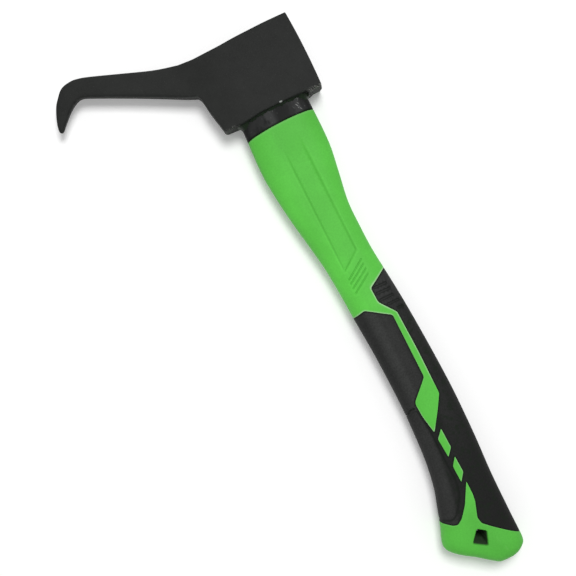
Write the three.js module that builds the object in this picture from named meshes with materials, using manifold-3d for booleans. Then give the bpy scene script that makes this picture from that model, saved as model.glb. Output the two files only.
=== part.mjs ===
// Hand pickaroon: a forged hook head bonded to a two-material handle on a fibreglass core.
// Millimetres. The tool lies on its side: Z = 0 is the surface it lies on, +Y points from the
// butt to the top of the head, and the hook points along -X. The origin is the middle of the
// head's lower cheek, under the centre of the eye.
import * as THREE from 'three';
import { mergeVertices } from 'three/addons/utils/BufferGeometryUtils.js';
import Module from 'manifold-3d';

// Driving sizes of the whole tool
const toolThickness = 28; // across the head's cheeks, and across the butt
const handleLength = 333.5; // from the underside of the head to the end of the butt
const fitGap = 0.3; // left between pieces that touch
const overrun = 4; // how far a cutting shape runs past what it cuts

// Head
const headHeight = 53; // along the eye
const pollReach = 34.5; // from the centre of the eye to the upper corner of the poll
const pollFootReach = 35.2; // and to its lower corner
const pollCrown = 0.7; // swell of the poll's face between its corners
const hookReach = 133.6; // from the centre of the eye to the tip of the beak
const hookRise = 49.6; // from the centre of the eye to the top of the arch
const breastReach = 35.4; // from the centre of the eye to the foot of the head's front edge
const breastFoot = 3; // radius of that foot
const topDip = 0.9; // hollow of the head's top edge in front of the eye

// Eye, tongue and resin
const eyeWidth = 44.5;
const eyeThickness = 19.5;
const eyeFlare = 1.4; // growth of the eye across its width, from the mouth to the top
const resinWall = 1.2; // resin between the tongue and the wall of the eye
const resinCap = 2.6; // resin over the end of the tongue, flush with the head's top
const beadProud = 2.4; // the squeezed-out bead stands this far off the neck's edges
const beadSkim = 0.7; // and this far off its faces
const beadHeight = 3.6;
const flangeHeight = 1; // resin between the neck's shoulder and the head
const bandHeight = 10.9; // from the head down to the green jacket
const spigotDepth = 15; // the tongue's foot inside the jacket
const spigotWall = 4.5; // jacket round that foot

// Core
const coreWidth = 16;
const coreThickness = 10;
const coreCorner = 3;
const coreOffset = 3; // towards the poll from the centre of the eye
const coreTail = 42; // jacket left solid below the core

// Handle sections: across the tool's width, then across its thickness
const neckWidth = 48;
const shoulderWidth = 49.3;
const waistWidth = 33.8;
const gripWidth = 35.1;
const palmWidth = 36.6;
const buttWidth = 50.7;
const neckThickness = 22.5;
const waistThickness = 23;
const gripThickness = 26;
const sweep = 8.25; // furthest that the handle's middle line leans towards the poll
const toeLength = 24.8; // height of the slanted end of the butt
const toeCap = 0.4; // least half width of the last section

// Grip overmould and the jacket's surface
const gripSkin = 2.2;
const ribDepth = 0.8;
const ribWidth = 1.5;
const notchDepth = 0.7;
const panelDepth = 0.8;
const slotDepth = 1.8;
const slotWidth = 1.4;
const holeCorner = 1.2;

// How finely the surfaces are divided
const ringSides = 32;
const shaftSteps = 34;
const weld = 1e-4;
const curveSteps = 5;

const half = 0.5;
const middle = toolThickness * half;
const headTop = headHeight * half;
const headFoot = -headTop;
const shaftFoot = headFoot - handleLength;
const jacketTop = headFoot - bandHeight;

const wasm = await Module();
wasm.setup();

function solidOf(geometry) {
  const bare = geometry.index ? geometry.toNonIndexed() : geometry.clone();
  bare.deleteAttribute('normal');
  bare.deleteAttribute('uv');
  const merged = mergeVertices(bare, weld);
  return new wasm.Manifold(new wasm.Mesh({
    numProp: 3,
    vertProperties: new Float32Array(merged.attributes.position.array),
    triVerts: new Uint32Array(merged.index.array),
  }));
}

function geometryOf(solid) {
  const mesh = solid.getMesh();
  const geometry = new THREE.BufferGeometry();
  geometry.setAttribute('position', new THREE.BufferAttribute(new Float32Array(mesh.vertProperties), 3));
  geometry.setIndex(new THREE.BufferAttribute(new Uint32Array(mesh.triVerts), 1));
  const flat = geometry.toNonIndexed();
  flat.computeVertexNormals();
  return flat;
}

function named(name, solid, color, roughness, metalness = 0) {
  const material = new THREE.MeshStandardMaterial({ color, roughness, metalness });
  const mesh = new THREE.Mesh(geometryOf(solid), material);
  mesh.name = name;
  return mesh;
}

const mix = (from, to, share) => from + (to - from) * share;

// A smooth curve through [place, value] pairs, read at one place.
function readCurve(pairs, place) {
  const last = pairs.length - 1;
  const slope = (k) => {
    const before = pairs[Math.max(k - 1, 0)];
    const after = pairs[Math.min(k + 1, last)];
    return (after[1] - before[1]) / (after[0] - before[0]);
  };
  let k = 0;
  while (k < last - 1 && place > pairs[k + 1][0]) {
    k += 1;
  }
  const [x0, y0] = pairs[k];
  const [x1, y1] = pairs[k + 1];
  const span = x1 - x0;
  const t = THREE.MathUtils.clamp((place - x0) / span, 0, 1);
  const t2 = t * t;
  const t3 = t2 * t;
  return (2 * t3 - 3 * t2 + 1) * y0 + (t3 - 2 * t2 + t) * span * slope(k)
    + (3 * t2 - 2 * t3) * y1 + (t3 - t2) * span * slope(k + 1);
}

// The handle's form. The first number of each pair is a share of the handle's length,
// counted from the head; the second is a width, a thickness or a share.
const widthAlongShares = [
  [0, neckWidth],
  [0.104, shoulderWidth],
  [0.1673, mix(shoulderWidth, waistWidth, 0.29)],
  [0.227, mix(shoulderWidth, waistWidth, 0.66)],
  [0.2808, mix(shoulderWidth, waistWidth, 0.87)],
  [0.335, waistWidth],
  [0.4485, gripWidth],
  [0.5269, gripWidth],
  [0.7368, palmWidth],
  [0.8121, mix(palmWidth, buttWidth, 0.155)],
  [0.8563, mix(palmWidth, buttWidth, 0.427)],
  [0.8915, mix(palmWidth, buttWidth, 0.685)],
  [0.9226, mix(palmWidth, buttWidth, 0.935)],
  [1, buttWidth],
];
const thicknessAlongShares = [
  [0, neckThickness],
  [0.119, neckThickness],
  [0.335, waistThickness],
  [0.5269, gripThickness],
  [0.7619, gripThickness],
  [0.9126, toolThickness],
  [1, toolThickness],
];
const sweepShares = [
  [0, 0],
  [0.104, -0.0775],
  [0.1673, -0.1475],
  [0.227, -0.1565],
  [0.2808, 0.0296],
  [0.335, 0.2333],
  [0.3893, 0.4355],
  [0.4485, 0.6172],
  [0.5269, 0.8345],
  [0.6374, 1],
  [0.7067, 0.9688],
  [0.7639, 0.8664],
  [0.8121, 0.6686],
  [0.8563, 0.392],
  [0.8915, 0.1708],
  [0.9226, -0.0433],
  [1, -0.0433],
];
// The power of each section's superellipse: 2 is an ellipse, more is squarer.
const squarenessShares = [
  [0, 3.2],
  [0.1994, 3],
  [0.335, 2.6],
  [0.5007, 2.4],
  [0.7368, 2.3],
  [0.9226, 2.6],
  [1, 2.6],
];
// The slanted end: [share of its height, share of the butt's width or thickness].
const toeFrontShares = [
  [0, 0],
  [0.124, 0.026],
  [0.271, 0.094],
  [0.426, 0.1915],
  [0.562, 0.296],
  [0.686, 0.375],
  [0.814, 0.455],
  [0.911, 0.519],
  [0.977, 0.56],
  [1, 0.592],
];
const toeBackShares = [
  [0, 0],
  [0.48, 0.001],
  [0.62, 0.003],
  [0.717, 0.01],
  [0.783, 0.025],
  [0.853, 0.06],
  [0.9, 0.091],
  [0.938, 0.121],
  [0.977, 0.168],
  [1, 0.217],
];
const toeThicknessShares = [
  [0, 1],
  [0.45, 0.995],
  [0.65, 0.96],
  [0.8, 0.88],
  [0.9, 0.75],
  [0.97, 0.55],
  [1, 0.34],
];
const toeStepShares = [0, 0.124, 0.271, 0.426, 0.562, 0.686, 0.814, 0.89, 0.945, 0.977, 1];
const toeStart = 1 - toeLength / handleLength;

function section(along, inset = 0) {
  const wide = readCurve(widthAlongShares, along);
  const centre = sweep * readCurve(sweepShares, along);
  let front = centre - wide * half;
  let back = centre + wide * half;
  let thick = Math.min(readCurve(thicknessAlongShares, along), toolThickness) * half;
  if (along > toeStart) {
    const down = (along - toeStart) / (1 - toeStart);
    front += buttWidth * readCurve(toeFrontShares, down);
    back -= buttWidth * readCurve(toeBackShares, down);
    thick *= readCurve(toeThicknessShares, down);
  }
  return {
    centre: (front + back) * half,
    halfWidth: Math.max((back - front) * half - inset, toeCap),
    halfThickness: Math.max(thick - inset, toeCap),
    power: readCurve(squarenessShares, along),
  };
}

function ovalRing(y, centre, halfWidth, halfThickness, power) {
  const ring = [];
  for (let k = 0; k < ringSides; k += 1) {
    const angle = (k / ringSides) * Math.PI * 2;
    const c = Math.cos(angle);
    const s = Math.sin(angle);
    const x = Math.sign(c) * Math.abs(c) ** (2 / power);
    const z = Math.sign(s) * Math.abs(s) ** (2 / power);
    ring.push(new THREE.Vector3(centre + halfWidth * x, y, middle + halfThickness * z));
  }
  return ring;
}

// A closed body through rings of points that run down the handle.
function loft(rings) {
  const positions = [];
  const face = (...corners) => corners.forEach((p) => positions.push(p.x, p.y, p.z));
  for (let r = 0; r < rings.length - 1; r += 1) {
    for (let k = 0; k < ringSides; k += 1) {
      const next = (k + 1) % ringSides;
      const [a, b, c, d] = [rings[r][k], rings[r][next], rings[r + 1][next], rings[r + 1][k]];
      face(a, b, c);
      face(a, c, d);
    }
  }
  const first = rings[0];
  const last = rings[rings.length - 1];
  for (let k = 1; k < ringSides - 1; k += 1) {
    face(first[0], first[k + 1], first[k]);
    face(last[0], last[k], last[k + 1]);
  }
  const geometry = new THREE.BufferGeometry();
  geometry.setAttribute('position', new THREE.Float32BufferAttribute(positions, 3));
  return solidOf(geometry);
}

const alongOf = (y) => (headFoot - y) / handleLength;

// The whole handle between two heights, its surface moved in by a depth that may vary along it.
function handleForm(topY, inset = 0, footInset = 0) {
  const depthAt = typeof inset === 'function' ? inset : () => inset;
  const start = alongOf(topY);
  const places = [];
  for (let k = 0; k <= shaftSteps; k += 1) {
    places.push(mix(start, toeStart, k / shaftSteps));
  }
  toeStepShares.slice(1).forEach((share) => places.push(mix(toeStart, 1, share)));
  return loft(places.map((along) => {
    const { centre, halfWidth, halfThickness, power } = section(along, depthAt(along));
    const lift = along > toeStart ? footInset * (along - toeStart) / (1 - toeStart) : 0;
    return ovalRing(headFoot - along * handleLength + lift, centre, halfWidth, halfThickness, power);
  }));
}

// A stretch of the handle's own section between two heights near the neck.
function neckStretch(topY, footY, inset) {
  return loft([topY, footY].map((y) => {
    const { centre, halfWidth, halfThickness, power } = section(alongOf(y), inset);
    return ovalRing(y, centre, halfWidth, halfThickness, power);
  }));
}

// A flat outline pushed through the whole thickness of the tool.
function throughPrism(shape) {
  const depth = toolThickness + overrun * 2;
  const geometry = new THREE.ExtrudeGeometry(shape, { depth, bevelEnabled: false, curveSegments: curveSteps });
  geometry.translate(0, 0, -overrun);
  return solidOf(geometry);
}

// A point on the handle: across it, -1 at the front edge and 1 at the back, and along it.
function onHandle([across, along]) {
  const centre = sweep * readCurve(sweepShares, along);
  const reach = readCurve(widthAlongShares, along) * half;
  return new THREE.Vector2(centre + across * reach, headFoot - along * handleLength);
}

// Moves the sides of an outline outwards, or inwards where the distance is negative.
function grown(points, distance) {
  const turn = THREE.ShapeUtils.isClockWise(points) ? -1 : 1;
  return points.map((point, k) => {
    const before = points[(k + points.length - 1) % points.length];
    const after = points[(k + 1) % points.length];
    const a = point.clone().sub(before).normalize();
    const b = after.clone().sub(point).normalize();
    const normal = new THREE.Vector2(a.y + b.y, -a.x - b.x).normalize().multiplyScalar(turn);
    const reach = distance / Math.max(normal.dot(new THREE.Vector2(a.y, -a.x).multiplyScalar(turn)), half);
    return point.clone().addScaledVector(normal, reach);
  });
}

function outlineShape(points, holes = []) {
  const shape = new THREE.Shape(THREE.ShapeUtils.isClockWise(points) ? [...points].reverse() : points);
  holes.forEach((hole) => shape.holes.push(new THREE.Path(hole)));
  return shape;
}

// Shares of the head's reach and rise along the hook: top of the arm, arch, beak and throat.
const armTopShares = [
  [-0.3274, 0.5491],
  [-0.4513, 0.6467],
  [-0.5996, 0.7954],
  [-0.7479, 0.9459],
  [-0.8013, 0.9882],
  [-0.8363, 1],
  [-0.8785, 0.9857],
  [-0.9068, 0.947],
  [-0.9332, 0.8732],
  [-0.9581, 0.7894],
  [-0.98, 0.6693],
  [-0.9945, 0.5574],
  [-1, 0.4855],
];
const beakTipShares = [[-1, 0.4855], [-0.9981, 0.4491], [-0.9887, 0.4326], [-0.9765, 0.4487]];
const throatShares = [
  [-0.9765, 0.4487],
  [-0.9543, 0.5129],
  [-0.9171, 0.6092],
  [-0.8875, 0.6725],
  [-0.8614, 0.7135],
  [-0.8384, 0.7318],
  [-0.8178, 0.7262],
  [-0.7963, 0.7037],
];
const armFootShares = [[-0.6845, 0.5609], [-0.5333, 0.3587], [-0.3807, 0.144], [-0.3208, 0.0811]];
const breastTopShares = [[-0.31, 0.0754], [-0.3013, 0.0465], [-0.2942, -0.0148]];
// The plan of the head, seen from its top: [share of the reach, share of the half thickness].
const planShares = [
  [-0.08, 1],
  [-0.13, 0.985],
  [-0.18, 0.92],
  [-0.23, 0.79],
  [-0.28, 0.64],
  [-0.33, 0.52],
  [-0.39, 0.45],
  [-0.53, 0.4],
  [-0.75, 0.35],
  [-0.86, 0.31],
  [-0.94, 0.25],
  [-1.02, 0.15],
];

const onHook = ([reach, rise]) => new THREE.Vector2(reach * hookReach, rise * hookRise);

function headOutline() {
  const shape = new THREE.Shape();
  shape.moveTo(pollFootReach, headFoot);
  shape.quadraticCurveTo((pollReach + pollFootReach) * half + pollCrown * 2, 0, pollReach, headTop);
  shape.lineTo(pollReach * half, headTop);
  shape.quadraticCurveTo(-pollReach * half, headTop - topDip * 2, armTopShares[0][0] * hookReach,
    armTopShares[0][1] * hookRise);
  shape.splineThru(armTopShares.slice(1).map(onHook));
  shape.splineThru(beakTipShares.slice(1).map(onHook));
  shape.splineThru(throatShares.slice(1).map(onHook));
  armFootShares.map(onHook).forEach((p) => shape.lineTo(p.x, p.y));
  shape.splineThru(breastTopShares.map(onHook));
  shape.lineTo(-breastReach, headFoot + breastFoot);
  shape.quadraticCurveTo(-breastReach, headFoot, -breastReach + breastFoot, headFoot);
  shape.closePath();
  return shape;
}

function headPlan() {
  const side = planShares.map(([reach, share]) => new THREE.Vector2(reach * hookReach, share * middle));
  const far = side.map((p) => new THREE.Vector2(p.x, -p.y)).reverse();
  const back = pollReach + pollCrown + overrun;
  const shape = new THREE.Shape();
  shape.moveTo(back, middle);
  shape.lineTo(side[0].x, middle);
  shape.splineThru(side.slice(1));
  shape.lineTo(far[0].x, far[0].y);
  shape.splineThru(far.slice(1));
  shape.lineTo(back, -middle);
  shape.closePath();
  return shape;
}

function eyeForm(topY, footY, inset) {
  const flareAt = (y) => eyeFlare * (y - headFoot) / headHeight;
  return loft([topY, footY].map((y) => ovalRing(
    y,
    0,
    (eyeWidth + flareAt(y)) * half - inset,
    (eyeThickness + flareAt(y)) * half - inset,
    squarenessShares[0][1],
  )));
}

function hookHead() {
  const side = new THREE.ExtrudeGeometry(headOutline(), {
    depth: toolThickness, bevelEnabled: false, curveSegments: curveSteps,
  });
  const tall = (hookRise + overrun) * 2;
  const plan = new THREE.ExtrudeGeometry(headPlan(), {
    depth: tall, bevelEnabled: false, curveSegments: curveSteps,
  });
  plan.rotateX(Math.PI * half);
  plan.translate(0, tall * half, middle);
  return solidOf(side).intersect(solidOf(plan)).subtract(eyeForm(headTop + overrun, headFoot - overrun, 0));
}

const shoulderTop = headFoot - fitGap - flangeHeight - fitGap;
const tongueTop = headTop - resinCap;

function coreForm(topY, footY, grow) {
  const wide = coreWidth * half + grow;
  const thick = coreThickness * half + grow;
  const corner = coreCorner + grow;
  const shape = new THREE.Shape();
  shape.moveTo(-wide + corner, -thick);
  shape.lineTo(wide - corner, -thick);
  shape.quadraticCurveTo(wide, -thick, wide, -thick + corner);
  shape.lineTo(wide, thick - corner);
  shape.quadraticCurveTo(wide, thick, wide - corner, thick);
  shape.lineTo(-wide + corner, thick);
  shape.quadraticCurveTo(-wide, thick, -wide, thick - corner);
  shape.lineTo(-wide, -thick + corner);
  shape.quadraticCurveTo(-wide, -thick, -wide + corner, -thick);
  const bar = new THREE.ExtrudeGeometry(shape, {
    depth: topY - footY, bevelEnabled: false, curveSegments: curveSteps,
  });
  bar.rotateX(Math.PI * half);
  bar.translate(coreOffset, topY, middle);
  return solidOf(bar);
}

const coreFoot = shaftFoot + coreTail;
const coreBore = () => coreForm(headTop + overrun, coreFoot - fitGap, fitGap);

function neckTongue() {
  const insideEye = eyeForm(tongueTop, shoulderTop - flangeHeight, resinWall + fitGap);
  const band = neckStretch(shoulderTop, jacketTop, 0);
  const spigot = neckStretch(jacketTop + flangeHeight, jacketTop - spigotDepth, spigotWall);
  return insideEye.add(band).add(spigot).subtract(coreBore());
}

function eyeResin() {
  const flangeTop = headFoot - fitGap;
  const flangeFoot = flangeTop - flangeHeight;
  const sleeve = eyeForm(headTop, flangeFoot, fitGap);
  const { centre, halfWidth, halfThickness, power } = section(0);
  const rim = fitGap * 2;
  const bead = loft([
    ovalRing(flangeTop, centre, halfWidth + beadProud, halfThickness + beadSkim, power),
    ovalRing(flangeFoot, centre, halfWidth + beadProud * half, halfThickness + beadSkim, power),
    ovalRing(headFoot - beadHeight, centre, halfWidth + rim, halfThickness + rim, power),
  ]);
  const tongueRoom = eyeForm(tongueTop + fitGap, flangeFoot - overrun, resinWall);
  const bandRoom = neckStretch(flangeFoot, jacketTop, -fitGap);
  return sleeve.add(bead).subtract(tongueRoom).subtract(bandRoom);
}

// The edge of the grip on both faces of the handle, and the green that shows inside it.
const gripEdgeShares = [
  [-1.6, 0.4465],
  [-1.037, 0.4406],
  [-0.5318, 0.4353],
  [0.2772, 0.4648],
  [0.3136, 0.4672],
  [0.2071, 0.6018],
  [-0.4901, 0.6376],
  [-0.5357, 0.6441],
  [-0.5009, 0.6715],
  [-0.3472, 0.7094],
  [0.1382, 0.6695],
  [0.4353, 0.6435],
  [0.485, 0.551],
  [0.5248, 0.4642],
  [0.0936, 0.4314],
  [0.1153, 0.4007],
  [0.965, 0.3762],
  [1.6, 0.3702],
  [1.6, 0.9648],
  [0.989, 0.953],
  [0.8247, 0.948],
  [0.6305, 0.9374],
  [0.3518, 0.9211],
  [0.1261, 0.9079],
  [0.0613, 0.8945],
  [0.0972, 0.8813],
  [0.1495, 0.8635],
  [0.1496, 0.8487],
  [0.0737, 0.821],
  [-0.0833, 0.8443],
  [-0.1945, 0.8627],
  [-0.3943, 0.8842],
  [-0.5323, 0.8919],
  [-0.6746, 0.8901],
  [-1.062, 0.8759],
  [-1.6, 0.8604],
];
const upperWindowShares = [[-0.0659, 0.707], [-0.0053, 0.7484], [-0.2268, 0.7645], [-0.3274, 0.7241]];
const lowerWindowShares = [[-0.0051, 0.7675], [0.085, 0.8021], [-0.0954, 0.8192], [-0.1989, 0.7843]];
const hangHoleShares = [[-0.0457, 0.9149], [0.1688, 0.9279], [0.0103, 0.953], [-0.2844, 0.9374]];
const panelShares = [[-0.2391, 0.0588], [0.3639, 0.0588], [0.4314, 0.3192], [-0.4192, 0.3461]];
// Each slot's middle line, from its front end to its back end.
const slotShares = [
  [[-0.4582, 0.3674], [0.3837, 0.3407]],
  [[-0.4738, 0.3762], [0.3699, 0.3508]],
  [[-0.4891, 0.3862], [0.3552, 0.3611]],
  [[-0.4978, 0.3969], [0.3344, 0.3715]],
];
const ribShares = [
  [[0.1873, 0.4028], [1.5, 0.3953]],
  [[0.1682, 0.4163], [1.5, 0.4088]],
  [[0.1495, 0.4297], [1.5, 0.4224]],
  [[0.3272, 0.4432], [1.5, 0.436]],
  [[0.5729, 0.4567], [1.5, 0.4495]],
];
const notchShares = [
  [-1.6, 0.6635],
  [-0.8284, 0.6529],
  [-0.5962, 0.6499],
  [-0.5956, 0.6444],
  [-0.8273, 0.6419],
  [-1.6, 0.6494],
];

const gripWindows = (grow) => [upperWindowShares, lowerWindowShares]
  .map((shares) => grown(shares.map(onHandle), grow));

function gripPrism(grow) {
  const edge = grown(gripEdgeShares.map(onHandle), grow);
  return throughPrism(outlineShape(edge, gripWindows(-grow)));
}

// A straight band of one width along a line.
function bandShape([from, to], width) {
  const a = onHandle(from);
  const b = onHandle(to);
  const aside = new THREE.Vector2(a.y - b.y, b.x - a.x).normalize().multiplyScalar(width * half);
  return outlineShape([a.clone().add(aside), a.clone().sub(aside), b.clone().sub(aside), b.clone().add(aside)]);
}

// What a cut of one depth takes off the handle's surface within a flat outline.
const surfaceCut = (shape, depth) => throughPrism(shape).subtract(handleForm(headFoot, depth));

function hangHole() {
  const corners = hangHoleShares.map(onHandle);
  const shape = new THREE.Shape();
  corners.forEach((corner, k) => {
    const before = corners[(k + corners.length - 1) % corners.length];
    const after = corners[(k + 1) % corners.length];
    const enter = corner.clone().addScaledVector(before.clone().sub(corner).normalize(), holeCorner);
    const leave = corner.clone().addScaledVector(after.clone().sub(corner).normalize(), holeCorner);
    if (k === 0) {
      shape.moveTo(enter.x, enter.y);
    } else {
      shape.lineTo(enter.x, enter.y);
    }
    shape.quadraticCurveTo(corner.x, corner.y, leave.x, leave.y);
  });
  shape.closePath();
  return throughPrism(shape);
}

function shaftJacket() {
  const gripRoom = gripPrism(fitGap).subtract(handleForm(headFoot, gripSkin + fitGap));
  // The sunken panel fades out towards the neck.
  const [fadeFromShare, fadeToShare] = [0.08, 0.16];
  const fade = (along) => panelDepth * THREE.MathUtils.smoothstep(along, fadeFromShare, fadeToShare);
  const panel = throughPrism(outlineShape(panelShares.map(onHandle))).subtract(handleForm(headFoot, fade));
  const slots = slotShares.map((line) => surfaceCut(bandShape(line, slotWidth), slotDepth));
  const spigotRoom = neckStretch(jacketTop + overrun, jacketTop - spigotDepth - fitGap, spigotWall - fitGap);
  return handleForm(jacketTop - fitGap)
    .subtract(wasm.Manifold.union([gripRoom, panel, ...slots, spigotRoom, coreBore(), hangHole()]));
}

function gripOvermould() {
  const skin = gripPrism(0).subtract(handleForm(headFoot, gripSkin));
  const ribs = ribShares.map((line) => surfaceCut(bandShape(line, ribWidth), ribDepth));
  const notch = surfaceCut(outlineShape(notchShares.map(onHandle)), notchDepth);
  return handleForm(headFoot).intersect(skin).subtract(wasm.Manifold.union([...ribs, notch]));
}

const pickaroon = new THREE.Group();
pickaroon.add(named('hook_head', hookHead(), 0x313231, 0.62, 0.35));
pickaroon.add(named('eye_resin', eyeResin(), 0x242525, 0.3));
pickaroon.add(named('neck_tongue', neckTongue(), 0x2c2d2d, 0.35));
pickaroon.add(named('handle_core', coreForm(tongueTop, coreFoot, 0), 0xc8bf9a, 0.55));
pickaroon.add(named('shaft_jacket', shaftJacket(), 0x5fc04c, 0.5));
pickaroon.add(named('grip_overmould', gripOvermould(), 0x323332, 0.75));

export default pickaroon;
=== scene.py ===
"""Dresses a hand pickaroon: coated hook head, glossy neck, green jacket and soft black grip."""
import math
from contextlib import contextmanager

import bmesh
import bpy
import numpy as np
from bpy.props import FloatProperty, FloatVectorProperty, PointerProperty
from mathutils import Matrix, Vector
from mathutils.geometry import delaunay_2d_cdt


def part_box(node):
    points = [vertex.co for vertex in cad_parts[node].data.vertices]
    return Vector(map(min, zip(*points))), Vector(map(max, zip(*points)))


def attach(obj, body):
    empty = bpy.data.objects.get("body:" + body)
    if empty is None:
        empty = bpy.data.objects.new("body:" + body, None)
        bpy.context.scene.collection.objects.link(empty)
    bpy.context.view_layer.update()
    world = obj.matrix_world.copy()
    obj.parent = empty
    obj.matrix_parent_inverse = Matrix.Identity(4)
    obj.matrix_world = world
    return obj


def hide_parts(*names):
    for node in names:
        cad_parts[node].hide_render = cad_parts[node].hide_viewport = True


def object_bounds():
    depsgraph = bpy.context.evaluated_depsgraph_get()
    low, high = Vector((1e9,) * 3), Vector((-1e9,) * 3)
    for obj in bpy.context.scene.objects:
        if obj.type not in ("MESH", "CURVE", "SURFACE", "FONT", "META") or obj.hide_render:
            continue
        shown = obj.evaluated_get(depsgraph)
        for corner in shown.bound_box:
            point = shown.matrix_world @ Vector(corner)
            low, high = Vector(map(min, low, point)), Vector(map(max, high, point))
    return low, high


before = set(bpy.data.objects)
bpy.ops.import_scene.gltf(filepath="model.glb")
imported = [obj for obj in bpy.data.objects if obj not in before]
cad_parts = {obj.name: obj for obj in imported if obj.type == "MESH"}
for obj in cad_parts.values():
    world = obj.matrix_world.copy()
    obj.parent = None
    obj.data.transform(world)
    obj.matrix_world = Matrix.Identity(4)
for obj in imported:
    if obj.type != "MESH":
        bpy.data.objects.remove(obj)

bl_info = {
    "name": "Hand pickaroon",
    "version": (1, 0, 0),
    "blender": (4, 5, 0),
    "location": "3D View > Sidebar > Pickaroon",
    "description": "Builds the finished surfaces of a hand pickaroon around its solid model",
    "category": "Add Mesh",
}

MM = 0.001
HEAD_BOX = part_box("hook_head")
JACKET_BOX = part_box("shaft_jacket")
CAD_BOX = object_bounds()
THICKNESS = HEAD_BOX[1].z - HEAD_BOX[0].z
MIDDLE = (HEAD_BOX[1].z + HEAD_BOX[0].z) / 2
HEAD_FOOT = HEAD_BOX[0].y
HEAD_TOP = -HEAD_FOOT
SHAFT_FOOT = JACKET_BOX[0].y
JACKET_TOP = JACKET_BOX[1].y


def length(name, description, millimetres):
    """A size that a user can change."""
    return FloatProperty(name=name, description=description, default=millimetres * MM,
                         min=0.0, unit="LENGTH", subtype="DISTANCE", precision=5)


def colour(name, description, value):
    """A colour that a user can change."""
    return FloatVectorProperty(name=name, description=description, default=value, size=3,
                               min=0.0, max=1.0, subtype="COLOR")


class HandleSizes(bpy.types.PropertyGroup):
    """Widths across the tool, thicknesses through it, and the depths of what is cut in the handle."""
    neck_width: length("Neck width", "Across the handle where it meets the head", 48)
    shoulder_width: length("Shoulder width", "Widest place below the neck", 49.3)
    waist_width: length("Waist width", "Narrowest place above the grip", 33.8)
    grip_width: length("Grip width", "Across the upper grip", 35.1)
    palm_width: length("Palm width", "Across the lower grip", 36.6)
    butt_width: length("Butt width", "Across the flared end", 50.7)
    neck_thickness: length("Neck thickness", "Through the handle at the neck", 22.5)
    waist_thickness: length("Waist thickness", "Through the handle at the waist", 23)
    grip_thickness: length("Grip thickness", "Through the handle at the grip", 26)
    sweep: length("Sweep", "Furthest lean of the handle's middle line towards the poll", 8.25)
    toe_length: length("Toe length", "Height of the slanted end", 24.8)
    skin: length("Grip skin", "Thickness of the soft grip", 2.2)
    seam_round: length("Seam rounding", "Radius where the grip and the jacket meet", 0.4)
    panel_depth: length("Panel depth", "How far the panel is sunk in the jacket", 0.8)
    slot_depth: length("Slot depth", "Depth of the slots under the panel", 0.5)
    slot_width: length("Slot width", "Width of each slot", 1.3)
    rib_depth: length("Rib depth", "Depth of the grooves between the thumb ribs", 0.45)
    rib_width: length("Rib groove width", "Width of each groove between the thumb ribs", 2.1)
    notch_depth: length("Notch depth", "Depth of the notch in the belly of the grip", 0.8)
    pad_groove: length("Pad groove", "Depth of the groove round the lower belly pad", 0.35)
    hole_corner: length("Hole corner", "Corner radius of the hang hole", 1.2)


class HeadSizes(bpy.types.PropertyGroup):
    """Sizes of the forging."""
    poll_reach: length("Poll reach", "From the eye's centre to the upper corner of the poll", 34.5)
    poll_foot: length("Poll foot reach", "From the eye's centre to the lower corner of the poll", 35.2)
    poll_crown: length("Poll crown", "Swell of the poll's face between its corners", 0.7)
    hook_reach: length("Hook reach", "From the eye's centre to the tip of the beak", 133.6)
    hook_rise: length("Hook rise", "From the eye's centre to the top of the arch", 49.6)
    breast_reach: length("Breast reach", "From the eye's centre to the foot of the front edge", 35.4)
    breast_foot: length("Breast foot", "Radius of that foot", 3)
    top_dip: length("Top dip", "Hollow of the top edge in front of the eye", 0.9)
    corner_swell: length("Corner swell", "How far the poll's low corner stands out at mid thickness", 0.9)
    body_round: length("Body rounding", "Radius of the edges round the cheeks", 0.9)
    arm_round: length("Arm rounding", "Radius of the edges along the arm and beak", 2.0)
    eye_width: length("Eye width", "Width of the eye at its mouth", 44.5)
    eye_thickness: length("Eye thickness", "Thickness of the eye at its mouth", 19.5)
    eye_flare: length("Eye flare", "Growth of the eye from its mouth to its top", 1.4)
    bead_proud: length("Bead across", "How far the resin bead stands off the neck's edges", 2.4)
    bead_skim: length("Bead on the faces", "How far the resin bead stands off the neck's faces", 0.7)
    bead_height: length("Bead height", "Height of the resin bead at the neck's edges", 5.0)
    bead_face: length("Bead height on the faces", "Height of the resin bead on the neck's faces", 1.6)


class Finishes(bpy.types.PropertyGroup):
    """Base colours of the finishes."""
    coating: colour("Head coating", "Matt powder coat on the forging", (0.0185, 0.0195, 0.0185))
    neck: colour("Neck", "Glossy black moulding", (0.0145, 0.0152, 0.0148))
    resin: colour("Resin", "Squeezed-out resin", (0.0055, 0.0105, 0.005))
    jacket: colour("Jacket", "Hard green shell", (0.103, 0.515, 0.062))
    grip: colour("Grip", "Soft black overmould", (0.0123, 0.0127, 0.0123))
    core: colour("Core", "Glass fibre bar", (0.58, 0.52, 0.33))
    floor: colour("Floor", "Floor under the tool", (0.95, 0.95, 0.95))


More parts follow.
